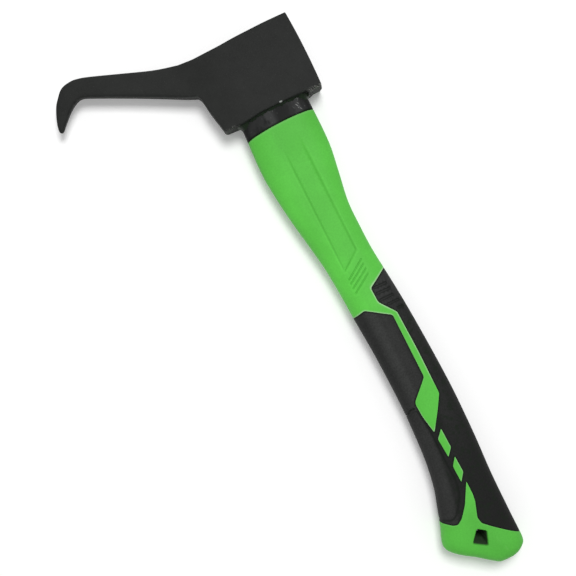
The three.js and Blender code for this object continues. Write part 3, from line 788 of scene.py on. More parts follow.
class Surface:
    """The points of the flat map, and what the two shells need to know about each."""

    def __init__(self, handle):
        self.handle = handle
        self.sizes = handle.sizes
        self.lines = handle_outlines(handle)
        self.flat, self.triangles = handle_map(handle, self.lines)
        self.on_seam = (self.flat[:, 0] <= 0) | (self.flat[:, 0] >= handle.span)
        self.along = handle.along(self.flat[:, 1])
        self.across = np.clip(handle.across(self.flat), -1, 1)
        self.from_top = JACKET_TOP - self.flat[:, 1]
        self.within = {name: inside(self.flat, line) for name, line in self.lines.items()}
        self.gaps = {name: distance_to(self.flat, line) for name, line in self.lines.items()}
        self.seam_gap = np.min([self.gaps[name] for name in SEAM_LINES], axis=0)
        self.slots = [name for name in self.lines if name.startswith("slot")]
        self.ribs = [name for name in self.lines if name.startswith("rib")]

    def sunk(self, name, reach):
        """0 outside an outline, and 1 from a reach inside it."""
        return np.where(self.within[name], ease(self.gaps[name], 0, reach), 0)

    def open_to_back(self, name, step=0.05 * MM):
        """1 where the nearest part of an outline lies straight towards the back edge, 0 where it doesn't."""
        moved = distance_to(self.flat + (step, 0), self.lines[name])
        return np.clip((moved - self.gaps[name]) / step, 0, 1)


def jacket_depth(s):
    """How far the jacket's surface lies below the plain form, and the painted shade in its slots."""
    depth = np.maximum(rounding(s.seam_gap, s.sizes.seam_round * 0.8), rounding(s.from_top, 0.5 * MM))
    panel = s.sunk("panel", 0.95 * MM) * ease(s.along, 0.06, 0.12)
    slots = np.max([s.sunk(name, 0.42 * MM) for name in s.slots], axis=0)
    depth = np.maximum(depth, np.maximum(panel * s.sizes.panel_depth, slots * s.sizes.slot_depth))
    return depth + rounding(s.gaps["hole"], 0.6 * MM), slots


def jacket_tone(s):
    """Painted light and shade on the jacket, 1 on plain parts."""
    along, across = s.along, s.across
    side = np.where(s.within["panel"], s.gaps["panel"], -s.gaps["panel"])
    shown = ease(along, 0.06, 0.14)
    front = ease(-across, -0.1, 0.1) * (1 - ease(along, 0.338, 0.35))
    # Painted shade in the crease of the panel's wall, a painted highlight on the lip beside it, and a painted
    # highlight below the panel's end.
    crease = ease(np.abs(side - 0.45 * MM), 0.75 * MM, 0.2 * MM) * shown
    lip = ease(np.abs(side + 0.95 * MM), 0.85 * MM, 0.2 * MM) * shown * (1 - 0.6 * ease(along, 0.33, 0.342))
    tone = 1 - crease * (0.045 + 0.03 * ease(along, 0.26, 0.31) + 0.1 * front)
    tone *= 1 + lip * (0.07 + 0.02 * front)
    tone += 0.025 * ease(-side, 0, 0.5 * MM) * ease(-side, 2.6 * MM, 1.2 * MM) * ease(along, 0.312, 0.325)
    # Painted highlights on the ridges between the slots.
    for name in s.slots[1:]:
        tone += 0.06 * np.where(s.within[name], 0, ease(s.gaps[name], 1.5 * MM, 0.5 * MM))
    # Painted shade, darker towards the jacket's top end.
    tone *= 1 - 0.1 * (1 - ease(s.from_top, 2 * MM, 34 * MM))
    # Painted light and shade at places along and across the jacket.
    for gain, gain_across, starts, ends, sets_in in JACKET_PAINTED_LIGHT:
        tone *= 1 + (gain + gain_across * ease(across, *sets_in)) * lasting(along, starts, ends)
    return tone


def seam_light(s):
    """How strongly a painted highlight lies on the jacket's edge along its seam and its top."""
    along, across = s.along, s.across
    by_ribs = s.open_to_back("grip") * (1 - ease(along, 0.6, 0.64)) * ease(across, 0, 0.15)
    above_ribs = (1 - ease(along, 0.403, 0.408)) * ease(across, 0, 0.1)
    by_ribs = np.maximum(by_ribs * (1 - 0.2 * ease(along, 0.46, 0.5)), above_ribs)
    above_belly = (1 - ease(along, 0.462, 0.472)) * ease(across, 0.4, 0.3)
    lozenge_front = lasting(along, (0.645, 0.66), (0.72, 0.73)) * ease(across, -0.15, -0.3)
    by_window = np.max([s.open_to_back(name) * s.within[name] for name in SEAM_LINES[1:]], axis=0)
    strength = np.maximum(0.12 + 0.7 * above_belly + 0.6 * lozenge_front + 0.4 * by_window, by_ribs)
    width = (0.75 + 0.55 * by_ribs + 0.4 * above_belly) * MM
    top_edge = 1 - ease(s.from_top, 0.3 * MM, 0.9 * MM)
    return np.maximum((1 - ease(s.seam_gap, 0.15 * MM, width)) * strength, top_edge * 0.2)


def grip_depth(s):
    """How far the grip's surface lies below the plain form, and the painted shade in its grooves and at its
    seam.
    """
    depth = rounding(s.seam_gap, s.sizes.seam_round)
    hidden = 1 - ease(s.seam_gap, 0.45 * MM, 1.4 * MM)
    # The walls of the rib grooves get painted shade.
    for name in s.ribs:
        depth = np.maximum(depth, s.sunk(name, 0.45 * MM) * s.sizes.rib_depth)
        wall = ease(np.abs(s.gaps[name] - 0.25 * MM), 0.55 * MM, 0.1 * MM)
        hidden = np.maximum(hidden, (0.35 + 0.5 * wall) * s.within[name])
    notch = s.sunk("notch", 0.6 * MM)
    depth = np.maximum(depth, notch * s.sizes.notch_depth)
    groove = (1 - ease(s.gaps["pad"], 0.1 * MM, 1.3 * MM)) * ease(s.gaps["notch"], 0.5 * MM, 1.6 * MM)
    return depth + groove * s.sizes.pad_groove, np.maximum(np.maximum(hidden, notch), groove * 0.85)


def grip_tone(s):
    """Painted light and shade on the grip, 1 for its base colour: a paler belly with a painted highlight
    streak, a darker butt.
    """
    along, across = s.along, s.across
    at, centre, strength = np.array(BELLY_STREAK).T
    centre = np.interp(along, at, centre)
    streak = ease(np.abs(across - centre), 0.3, 0.07) * np.interp(along, at, strength)
    low = ease(along, 0.65, 0.69)
    belly = 1.72 + 0.3 * low * ease(along, 0.68, 0.72) + streak
    belly += 0.35 * (1 - low) * ease(across, centre - 0.1, centre + 0.05)
    belly -= 1.05 * low * ease(across, centre + 0.04, centre + 0.28)
    at, inner, outer = np.array(SPINE_TONES).T
    out = ease(across, 0.4, 0.98)
    spine = np.interp(along, at, inner) * (1 - out) + np.interp(along, at, outer) * out
    return belly + (spine - belly) * ease(across, 0, 0.2)


def make_jacket(s, green, black, seam, finishes):
    """The green jacket, with its pocket for the grip and the hang hole through it."""
    shell = Shell(s.on_seam)
    depth, hidden = jacket_depth(s)
    face = s.handle.place(s.flat, depth)
    outer = shell.layer(np.unique(green), s.handle.crowned(face), hidden=hidden, rim=seam_light(s),
                        tone=jacket_tone(s), deep=0)
    pocket = shell.layer(np.unique(black), s.handle.place(s.flat, s.sizes.skin + POCKET_GAP), hidden=1, rim=0,
                         tone=1, deep=0)
    shell.skin(outer, green)
    shell.skin(pocket, black)
    for side in (0, 1):
        shell.wall(seam, (outer[side], pocket[side]))
    hole = [edge for edge in open_edges(green) if s.gaps["hole"][list(edge)].max() < ON_LINE]
    ring = np.unique(hole)
    upper_corner = face[ring[np.argmax(face[ring, 1])]] * (1, 1, 0)
    rails = [outer[0]]
    # The walls of the hang hole carry a painted shadow, which stands for the dark inside the hole.
    for down, width in HOLE_THROAT:
        level = face + (mirrored(face) - face) * down
        level = upper_corner + (level - upper_corner) * (width, width, 1)
        rails.append(shell.ring(ring, level, hidden=1, rim=0, tone=1, deep=1))
    shell.wall(hole, [*rails, outer[1]])
    dress(shell.piece("jacket_shell", 42), green_shell(finishes), "jacket", "shaft_jacket")


def make_grip(s, black, seam, finishes):
    """The soft black grip, of one thickness under its grooves."""
    shell = Shell(s.on_seam)
    depth, hidden = grip_depth(s)
    tone = grip_tone(s)
    skin = shell.layer(np.unique(black), s.handle.place(s.flat, depth), hidden=hidden, tone=tone)
    inner = shell.layer(np.unique(black), s.handle.place(s.flat, s.sizes.skin), hidden=1, tone=tone)
    shell.skin(skin, black)
    shell.skin(inner, black[:, ::-1])
    for side in (0, 1):
        shell.wall(seam, (skin[side], inner[side]))
    dress(shell.piece("grip_skin", 42), soft_grip(finishes), "grip", "grip_overmould")


def make_handle_shells(sizes, finishes):
    """The green jacket and the black grip, cut along one shared seam."""
    s = Surface(Handle(sizes))
    x = s.flat[:, 0]
    centre = s.flat[s.triangles].mean(axis=1)
    held = {name: inside(centre, s.lines[name]) for name in (*SEAM_LINES, "hole")}
    in_grip = held["grip"] & ~held["window_0"] & ~held["window_1"]
    green, black = s.triangles[~in_grip & ~held["hole"]], s.triangles[in_grip]
    seam = [(a, b) for a, b in open_edges(black) if not (x[a] == x[b] and s.on_seam[a])]
    make_jacket(s, green, black, seam, finishes)
    make_grip(s, black, seam, finishes)


def head_outline(sizes):
    """The side view of the forging, as one closed line."""
    def on_hook(shares):
        return np.array(shares) * (sizes.hook_reach, sizes.hook_rise)

    reach, low_reach, top = sizes.poll_reach, sizes.poll_foot, HEAD_TOP
    front, foot = -sizes.breast_reach, sizes.breast_foot
    corner = POLL_CORNER
    arm = on_hook(ARM_TOP_SHARES)
    over_top = np.array(TOP_EDGE_SHARES) * (sizes.hook_reach, sizes.top_dip) + (0, top)
    under = np.linspace(front + foot, low_reach - corner, 60)[1:-1]
    parts = [
        bend((low_reach - corner, HEAD_FOOT), (low_reach, HEAD_FOOT), (low_reach, HEAD_FOOT + corner), 4),
        bend((low_reach, HEAD_FOOT + corner), ((reach + low_reach) / 2 + sizes.poll_crown * 2, 0),
             (reach, top - corner), 40),
        bend((reach, top - corner), (reach, top), (reach - corner, top), 4),
        smooth_line(np.vstack([(reach - corner, top), over_top, arm[0]]), 10),
        smooth_line(arm, 10),
        smooth_line(on_hook(BEAK_TIP_SHARES), 6),
        smooth_line(on_hook(THROAT_SHARES), 8),
        smooth_line(on_hook(ARM_FOOT_SHARES), 12),
        smooth_line(on_hook(BREAST_TOP_SHARES), 6),
        bend((front, HEAD_FOOT + foot), (front, HEAD_FOOT), (front + foot, HEAD_FOOT), 8),
        np.stack([under, HEAD_FOOT + mouth_rise(under)], axis=1),
    ]
    return thinned(evenly(np.concatenate(parts), OUTLINE_STEP), OUTLINE_LEAST)


def eye_ring(sizes, y, grow):
    """A ring round the eye's wall at one height."""
    flare = sizes.eye_flare * (y - HEAD_FOOT) / (HEAD_TOP - HEAD_FOOT)
    return oval_ring(y, 0, (sizes.eye_width + flare) / 2 + grow, (sizes.eye_thickness + flare) / 2 + grow,
                     SQUARENESS_SHARES[0][1], EYE_POINTS)


def lofted(rings, closed_loop=False):
    """Points and quads through rings of points; a closed loop joins its last ring to its first."""
    count = len(rings[0])
    faces = []
    for r in range(len(rings) if closed_loop else len(rings) - 1):
        a, b = r * count, ((r + 1) % len(rings)) * count
        faces += [[a + k, a + (k + 1) % count, b + (k + 1) % count, b + k] for k in range(count)]
    return np.concatenate(rings), faces


def cut_with(piece, points, faces):
    """Takes a closed body out of a piece, for good."""
    tool = add_object("cutter", closed_mesh("cutter", points, faces))
    modifier = piece.modifiers.new("cut", "BOOLEAN")
    modifier.operation = "DIFFERENCE"
    modifier.solver = "EXACT"
    modifier.object = tool
    bpy.context.view_layer.update()
    shaped = bpy.data.meshes.new_from_object(piece.evaluated_get(bpy.context.evaluated_depsgraph_get()))
    piece.modifiers.clear()
    with opened(shaped) as body:
        bmesh.ops.remove_doubles(body, verts=body.verts, dist=SLIVER)
        bmesh.ops.dissolve_degenerate(body, edges=body.edges, dist=SLIVER)
    spare = (piece.data, tool.data)
    piece.data = shaped
    bpy.data.objects.remove(tool)
    for mesh in spare:
        bpy.data.meshes.remove(mesh)


def make_head(sizes, finishes):
    """The forging: a flat outline, rounded at its rim and thinned towards the beak."""
    def edge_round(x):
        return sizes.body_round + (sizes.arm_round - sizes.body_round) * ease(-x, 30 * MM, 60 * MM)

    outline = head_outline(sizes)
    flat = Map()
    flat.line(outline)
    for share in RIM_RINGS:
        flat.beside(outline, edge_round(outline[:, 0]) * share)
    low, high = outline.min(axis=0), outline.max(axis=0)
    step = HEAD_STEP
    grid = np.array([(x + step / 2 * (row % 2), y)
                     for row, y in enumerate(np.arange(low[1], high[1], step * 0.87))
                     for x in np.arange(low[0], high[0], step)])
    flat.fill(grid[inside(grid, outline)], HEAD_CLEAR)
    points, triangles = flat.triangles()
    triangles = triangles[inside(points[triangles].mean(axis=1), outline)]

    half = read_curve(PLAN_SHARES, points[:, 0] / sizes.hook_reach) * THICKNESS / 2
    half = np.minimum(half, THICKNESS / 2)
    height = half - rounding(distance_to(points, outline), np.minimum(edge_round(points[:, 0]), half * 0.8))
    upper = np.column_stack([points, MIDDLE + height])
    shell = Shell(np.zeros(len(points), bool))
    cheeks = shell.layer(np.arange(len(points)), upper)
    shell.skin(cheeks, triangles)
    rim = open_edges(triangles)
    corner = ease(points[:, 0], 8 * MM, 34 * MM) * ease(-points[:, 1], 19 * MM, 26 * MM)
    rails = [cheeks[0]]
    for k in range(1, RIM_STEPS):
        swell = sizes.corner_swell * corner * (1 - abs(2 * k / RIM_STEPS - 1))
        wall = upper + (mirrored(upper) - upper) * k / RIM_STEPS + np.outer(swell, (0.5, -1, 0))
        rails.append(shell.ring(np.unique(rim), wall))
    shell.wall(rim, [*rails, cheeks[1]])
    piece = shell.piece("hook_forging", 40)

    past, chamfer = 3 * MM, 0.9 * MM
    cut_with(piece, *lofted([eye_ring(sizes, y, grow) for y, grow in (
        (HEAD_FOOT - past, chamfer), (HEAD_FOOT, chamfer), (HEAD_FOOT + chamfer, 0),
        (HEAD_TOP - chamfer, 0), (HEAD_TOP, chamfer), (HEAD_TOP + past, chamfer))]))
    smooth(piece.data, 40)
    plan = np.array([v.co.xy for v in piece.data.vertices])
    set_values(piece.data, "wear", 1 - ease(distance_to(plan, outline), 0, 1.2 * MM))
    dress(piece, coated_steel(finishes), "head_coating", "hook_head")


def neck_ring(handle, y, across, through, crowned=0.0):
    """A ring round the neck at one height, moved out and crowned like the jacket's end."""
    section = handle.section(handle.along(np.array([y])))
    centre, half_width, half_thickness, power = (value[0] for value in section)
    ring = oval_ring(y, centre, half_width + across, half_thickness + through, power, NECK_POINTS)
    ring[:, 1] += crown((ring[:, 0] - centre) / half_width) * crowned
    return ring


def make_neck(sizes, finishes):
    """The black band under the head, with its foot inside the jacket."""
    handle = Handle(sizes)
    foot = JACKET_TOP + 0.05 * MM
    shoulder = HEAD_FOOT - 0.9 * MM
    soft = 0.3 * MM
    heights = np.linspace(shoulder - 2 * soft, foot + 2 * soft, 9)
    # Each ring: its height, how far it is drawn in, and how much of the jacket's crown it takes.
    steps = [(shoulder, 3 * soft, 0), (shoulder, soft, 0)]
    steps += [(y, 0, k / len(heights)) for k, y in enumerate(heights)]
    steps += [(foot + 0.5 * soft, 0.2 * soft, 1), (foot, soft, 1)]
    rings = [neck_ring(handle, y, -drawn_in, -drawn_in, crowned) for y, drawn_in, crowned in steps]
    for k, ring in enumerate(rings):
        ring[:, 1] += mouth_rise(ring[:, 0]) * (1 - ease(k, 1, 7))
    # The rings at the foot, by the jacket, carry painted shade.
    at_foot = np.repeat(np.arange(len(rings)) >= len(rings) - 3, NECK_POINTS)
    dress(new_piece("neck_moulding", *lofted(rings), 40, {"deep": at_foot}), glossy_neck(finishes), "tongue",
          "neck_tongue")


def make_resin(sizes, head, finishes):
    """The bead under the head, and the resin that fills the top of the eye."""
    handle = Handle(sizes)
    inset = 0.5 * MM
    back = tuple((share, -inset / head.bead_proud, -inset / head.bead_skim) for share in (1, 0.5, 0))
    rings = []
    for down, across, through in BEAD_PROFILE + back:
        ring = neck_ring(handle, HEAD_FOOT - 0.02 * MM, across * head.bead_proud, through * head.bead_skim)
        x, z = ring[:, 0] / MM, ring[:, 2] / MM
        # The bead is low and lumpy on the neck's faces and runs out into a fillet at its two edges.
        edge = ease(np.abs(x) / (sizes.neck_width / 2 / MM), 0.72, 0.98)
        lumps = sum(rise * np.sin(wave * x + phase + lean * z) for rise, wave, phase, lean in BEAD_LUMPS)
        height = head.bead_face + (head.bead_height - head.bead_face) * edge
        ring[:, 1] += mouth_rise(ring[:, 0]) - down * height * (1 + lumps * (1 - edge))
        rings.append(ring)
    bead = new_piece("resin_bead", *lofted(rings, closed_loop=True), 50)
    dress(bead, poured_resin(finishes), "resin", "eye_resin")
    # The surface of the fill rises a little to the wall, as a liquid does.
    rings = [eye_ring(head, HEAD_TOP - 9 * MM, -0.05 * MM)]
    for inward, rise in FILL_PROFILE:
        rings.append(eye_ring(head, HEAD_TOP - 2 * MM, -inward * MM))
        rings[-1][:, 1] = HEAD_TOP + (rise - FILL_DEPTH) * MM
    dress(new_piece("resin_fill", *lofted(rings), 50), poured_resin(finishes), "resin")


class Value:
    """A number that varies over a surface; each operation on it adds a Math node."""

    def __init__(self, nodes, socket):
        self.nodes = nodes
        self.socket = socket

    def _math(self, operation, first, second):
        return self.nodes.math(operation, first, second)

    def __add__(self, other):
        return self._math("ADD", self, other)

    def __radd__(self, other):
        return self._math("ADD", other, self)

    def __sub__(self, other):
        return self._math("SUBTRACT", self, other)

    def __rsub__(self, other):
        return self._math("SUBTRACT", other, self)

    def __mul__(self, other):
        return self._math("MULTIPLY", self, other)

    def __rmul__(self, other):
        return self._math("MULTIPLY", other, self)


class Nodes:
    """The nodes of a material or of the world."""

    def __init__(self, owner):
        owner.use_nodes = True
        self.owner = owner
        self.tree = owner.node_tree

    def node(self, kind, settings, sockets, output=0):
        """Adds a node; settings are set first, then each socket's value or link."""
        made = self.tree.nodes.new(kind)
        for key, value in settings.items():
            setattr(made, key, value)
        for key, value in sockets.items():
            self.feed(made.inputs[key], value)
        return Value(self, made.outputs[output])

    def feed(self, socket, value):
        """Links a varying value to a socket, or sets a constant on it."""
        if isinstance(value, Value):
            self.tree.links.new(value.socket, socket)
        elif socket.type == "RGBA" and len(value) == 3:
            socket.default_value = (*value, 1)
        else:
            socket.default_value = value

    def math(self, operation, *values):
        """Adds a Math node."""
        return self.node("ShaderNodeMath", {"operation": operation}, dict(enumerate(values)))

    def seen(self):
        """1 for what the camera sees, mirrors and glass included, and 0 for the light on the object."""
        rays = [self.node("ShaderNodeLightPath", {}, {}, f"Is {kind} Ray")
                for kind in ("Camera", "Glossy", "Transmission")]
        return self.math("MAXIMUM", self.math("MAXIMUM", *rays[:2]), rays[2])


class Finish(Nodes):
    """A material under construction."""

    def __init__(self, name):
        super().__init__(bpy.data.materials.new(name))
        self.shader = self.tree.nodes["Principled BSDF"]
        self.place = self.node("ShaderNodeTexCoord", {}, {}, "Object")

    def noise(self, per_metre, detail=3.0, rough=0.55, stretch=(1, 1, 1)):
        """Noise from 0 to 1, with so many lumps to a metre."""
        spot = self.node("ShaderNodeMapping", {}, {"Vector": self.place, "Scale": stretch})
        return self.node("ShaderNodeTexNoise", {}, {"Vector": spot, "Scale": per_metre, "Detail": detail,
                                                    "Roughness": rough})

    def specks(self, per_metre, size, stretch=(1, 1, 1), turned=0.0):
        """1 in small spots and 0 elsewhere."""
        spot = self.node("ShaderNodeMapping", {"vector_type": "TEXTURE"},
                         {"Vector": self.place, "Rotation": (0, 0, turned),
                          "Scale": tuple(1 / s for s in stretch)})
        gap = self.node("ShaderNodeTexVoronoi", {"feature": "F1"}, {"Vector": spot, "Scale": per_metre},
                        "Distance")
        return self.between(gap, size, size * 0.4)

    def between(self, value, low, high):
        """0 at low and 1 at high, smooth between; low may be above high."""
        if low > high:
            return 1 - self.between(value, high, low)
        return self.node("ShaderNodeMapRange", {"interpolation_type": "SMOOTHSTEP"},
                         {"Value": value, "From Min": low, "From Max": high})

    def window(self, value, low, high, soft):
        """1 from low to high and 0 outside, fading over a width."""
        return self.between(value, low - soft, low + soft) * self.between(value, high + soft, high - soft)

    def axis(self, name):
        """Place along X, Y or Z, in metres."""
        return self.node("ShaderNodeSeparateXYZ", {}, {0: self.place}, name)

    def attribute(self, name):
        """A number that the mesh's points carry."""
        return self.node("ShaderNodeAttribute", {"attribute_name": name}, {}, "Fac")

    def blend(self, factor, first, second):
        """A colour between two."""
        colours = {0: factor, 6: first, 7: second}
        return self.node("ShaderNodeMix", {"data_type": "RGBA", "clamp_factor": True}, colours, 2)

    def coats(self, under, *coats):
        """A colour with others laid over it, each as (strength, colour)."""
        for strength, coat in coats:
            under = self.blend(strength, under, coat)
        return under

    def toned(self, base, tone, reach):
        """The base colour times a tone from 0 to a reach."""
        return self.blend(tone * (1 / reach), (0, 0, 0), shade(base, reach))

    def bump(self, height, distance, strength, **under):
        """A normal bumped by a height, over another one where that is given as Normal."""
        return self.node("ShaderNodeBump", {},
                         {"Height": height, "Distance": distance, "Strength": strength, **under})

    def finish(self, **sockets):
        """Feeds the shader and returns the material."""
        for key, value in sockets.items():
            self.feed(self.shader.inputs[key.replace("_", " ")], value)
        return self.owner


def shade(value, factor):
    """A colour made lighter or darker."""
    return tuple(min(c * factor, 1) for c in value)


def coated_steel(finishes):
    """Matt powder coat: fine orange peel, faint mottling and paler, rubbed edges."""
    f = Finish("coated_steel")
    base = tuple(finishes.coating)
    mottle = f.between(f.noise(130, 4), 0.35, 0.68)
    grain = f.noise(1500, 2, 0.6)
    powder = f.between(f.noise(1050, 2, 0.5), 0.32, 0.68)
    rubbed = f.attribute("wear") * f.between(f.noise(420, 4), 0.5, 0.72)
    across, along = f.axis("X"), f.axis("Y")
    # The two low corners of the head carry pale speckles, most of all near the cheeks: a rough coat, with
    # painted glints where the underside catches the light.
    corners = f.between(across, 0.0245, 0.028) + 0.6 * f.between(across, -0.0265, -0.0285)
    from_middle = f.math("ABSOLUTE", f.axis("Z") - MIDDLE)
    rough = corners * f.between(along, -0.0246, -0.0264) * f.between(f.noise(1150, 3), 0.49, 0.6)
    rough = rough * (0.2 + 0.8 * f.between(from_middle, 0.008, 0.0125))
    # Painted shade over the top of the cheek and out on the arm, and painted light at the arm's root.
    over_cheek = f.between(along, -0.004, 0.014) * f.between(across, -0.03, -0.012)
    on_arm = f.between(across, -0.084, -0.1) * f.between(along, 0.027, 0.035)
    at_root = f.window(across, -0.047, -0.026, 0.006) * f.between(along, 0.012, 0)
    tone = (1 - 0.13 * over_cheek - 0.1 * on_arm + 0.14 * at_root) * (0.92 + 0.15 * mottle)
    # One pale chip over the neck.
    chip = f.window(across + 0.0022 * f.noise(900, 2), 0.0065, 0.0087, 0.0002)
    chip = chip * f.window(along + 0.0013 * f.noise(1100, 2), -0.0247, -0.0238, 0.0002)
    chip = chip * f.between(f.axis("Z"), 0.02, 0.024)
    colour_now = f.coats(f.toned(base, tone, 1.5), (powder * 0.5, shade(base, 1.22)),
                         (f.specks(520, 0.16) * 0.35, shade(base, 3.2)), (rubbed * 0.45, shade(base, 3.0)),
                         (rough * 0.85, (0.24, 0.245, 0.225)), (chip * 0.8, (0.46, 0.48, 0.46)))
    peel = f.bump(f.noise(620, 2), 0.00012, 0.55)
    return f.finish(Base_Color=colour_now, Metallic=0.0, Roughness=0.58 + 0.14 * grain,
                    Specular_IOR_Level=0.1, Normal=f.bump(grain, 0.00005, 0.6, Normal=peel))


def green_shell(finishes):
    """Hard moulded shell: satin, faint mould grain, painted shade in its slots and seams, painted highlights
    on its edges.
    """
    f = Finish("green_shell")
    base = tuple(finishes.jacket)
    cloud = f.between(f.noise(55, 3), 0.3, 0.7)
    dust = f.between(f.noise(950, 2, 0.5), 0.3, 0.7)
    # The tone holds painted light and shade.
    tone = f.attribute("tone") * (0.935 + 0.06 * cloud + 0.07 * dust)
    scuff = f.between(f.noise(300, 5, 0.6, (1, 0.3, 1)), 0.63, 0.75)
    # Over the tone go painted shade in the slots and seams, painted highlights along the edges, a painted
    # shadow in the hang hole and real scuffs.
    colour_now = f.coats(f.toned(base, tone, 1.5), (f.attribute("hidden") * 0.3, shade(base, 0.6)),
                         (f.attribute("rim") * 0.95, (0.4, 0.66, 0.35)),
                         (f.attribute("deep") * 0.97, (0.042, 0.065, 0.037)),
                         (scuff * 0.1, (0.3, 0.66, 0.22)))
    grain = f.noise(1700, 2, 0.6)
    return f.finish(Base_Color=colour_now, Roughness=0.48 + 0.08 * grain + 0.1 * scuff,
                    Specular_IOR_Level=0.12, Normal=f.bump(grain, 0.00004, 0.5))


def soft_grip(finishes):
    """Soft overmould: matt with a fine spark-eroded grain, and painted shade in its grooves and at its seam.
    """
    f = Finish("soft_grip")
    cloud = f.between(f.noise(70, 3), 0.3, 0.7)
    dust = f.between(f.noise(1000, 2, 0.5), 0.3, 0.7)
    # The tone holds painted light and shade.
    tone = f.attribute("tone")
    smear = f.between(f.noise(260, 4, 0.65), 0.48, 0.62) * f.between(tone, 1.7, 1.4)
    plain = f.toned(tuple(finishes.grip), tone * (0.73 + 0.14 * cloud + 0.38 * dust), 4.5)
    # The last coat is painted shade in the grooves, the notch and along the seam.
    colour_now = f.coats(plain, (smear * 0.75, (0.0062, 0.0112, 0.0058)),
                         (f.attribute("hidden") * 0.85, (0.0045, 0.0065, 0.0045)))
    grain = f.noise(1350, 3, 0.65)
    return f.finish(Base_Color=colour_now, Roughness=0.62 + 0.14 * grain, Specular_IOR_Level=0.12,
                    Normal=f.bump(grain, 0.00012, 0.75))


def glossy_neck(finishes):
    """Glossy black moulding with painted reflections in pale patches, painted glints and fine scratches along
    it.
    """
    f = Finish("glossy_neck")
    across = f.axis("X")
    # Pale patches across the band are painted reflections, a little rougher too; the pale specks are painted
    # glints.
    left = f.window(across, -0.0073, -0.0022, 0.0015)
    beside = f.window(across, -0.0215, 0, 0.0015) + f.window(across, 0.008, 0.0205, 0.0015)
    right = f.window(across, 0.0125, 0.0172, 0.0012)
    ragged = f.between(f.noise(260, 4, 0.6, (1, 0.5, 1)), 0.3, 0.55)
    painted_reflection = (left + 0.5 * beside + 0.7 * right) * ragged
    scratches = f.specks(1050, 0.32, (1, 0.16, 1), 0.55) * right * f.between(f.noise(300, 2), 0.3, 0.46)
    painted_glints = f.specks(700, 0.2, (1, 0.5, 1)) * f.between(f.noise(180, 2), 0.42, 0.56)
    # The last coat is painted shade at the foot, by the jacket.
    colour_now = f.coats(tuple(finishes.neck), (painted_reflection * 0.8, (0.045, 0.046, 0.046)),
                         (painted_glints * (0.14 + 0.3 * painted_reflection), (0.3, 0.31, 0.3)),
                         (scratches * 0.85, (0.32, 0.33, 0.32)),
                         (f.attribute("deep") * 0.8, (0.004, 0.009, 0.004)))
    return f.finish(Base_Color=colour_now, Roughness=0.42 + 0.12 * painted_reflection + 0.08 * f.noise(200, 4),
                    Specular_IOR_Level=0.03, Normal=f.bump(f.noise(480, 3), 0.00008, 0.4))


def poured_resin(finishes):
    """Glossy resin, lumpy where it was squeezed out."""
    f = Finish("poured_resin")
    base = tuple(finishes.resin)
    lumps = f.noise(330, 3)
    across = f.axis("X")
    at_bead = f.between(f.axis("Y"), -0.02, -0.024)
    thin = f.between(across, 0.017, 0.0205) + f.between(across, -0.017, -0.0205)
    glints = f.specks(260, 0.1) * f.between(f.noise(120, 2), 0.5, 0.58)
    squeezed = f.blend(f.between(lumps, 0.4, 0.7), base, shade(base, 1.8))
    # The fill in the eye is plain; the bead is greener where it thins out at its ends.
    colour_now = f.coats(f.blend(at_bead, (0.0058, 0.0068, 0.0058), squeezed),
                         (thin * 0.85 * at_bead, (0.0095, 0.0185, 0.0085)), (glints * 0.8, (0.2, 0.22, 0.19)))
    return f.finish(Base_Color=colour_now, Roughness=0.3 + 0.15 * f.noise(700, 2), Specular_IOR_Level=0.08,
                    Normal=f.bump(lumps, 0.0003, 0.5))


def glass_fibre(finishes):
    """Pultruded bar: straight fibres in straw-coloured resin."""
    f = Finish("glass_fibre")
    base = tuple(finishes.core)
    fibres = f.noise(1600, 3, 0.6, (1, 0.03, 1))
    return f.finish(Base_Color=f.blend(fibres, shade(base, 0.75), shade(base, 1.1)),
                    Roughness=0.45 + 0.2 * fibres, Normal=f.bump(fibres, 0.0001, 0.5))


def white_floor(finishes):
    """A pale floor that the camera sees as white except in the tool's shadow."""
    f = Finish("white_floor")
    base = tuple(finishes.floor)
    f.finish(Base_Color=f.blend(f.between(f.noise(6, 2), 0.3, 0.7), shade(base, 0.995), base), Roughness=0.9,
             Specular_IOR_Level=0.1)
    glow = f.node("ShaderNodeEmission", {}, {"Color": (1.0, 1.0, 1.0), "Strength": f.seen() * FLOOR_GLOW})
    both = f.node("ShaderNodeAddShader", {}, {0: Value(f, f.shader.outputs[0]), 1: glow})
    f.feed(f.tree.nodes["Material Output"].inputs["Surface"], both)
    return f.owner


def make_camera():
    """The camera that looks at the tool as the photograph does."""
    data = bpy.data.cameras.new("camera")
    data.sensor_width = SENSOR_WIDTH
    data.lens = SENSOR_WIDTH * VIEW_DISTANCE / FRAME_WIDTH
    data.clip_start = 0.01
    camera = add_object("camera", data)
    turned = Matrix((RIGHT_IN_VIEW, UP_IN_VIEW, UP)).transposed().to_4x4()
    camera.matrix_world = Matrix.Translation(VIEW_POINT + UP * VIEW_DISTANCE) @ turned
    bpy.context.scene.camera = camera


def make_light():
    """One broad area light that faces the tool from above, leaning to the top of the picture."""
    data = bpy.data.lights.new("key_light", "AREA")
    data.energy = KEY_WATTS
    data.size = LIGHT_SIZE
    toward = (RIGHT_IN_VIEW * LIGHT_LEAN.x + UP_IN_VIEW * LIGHT_LEAN.y + UP).normalized()
    add_object("key_light", data).matrix_world = (
        Matrix.Translation(VIEW_POINT + toward * LIGHT_DISTANCE)
        @ toward.to_track_quat("Z", "Y").to_matrix().to_4x4())


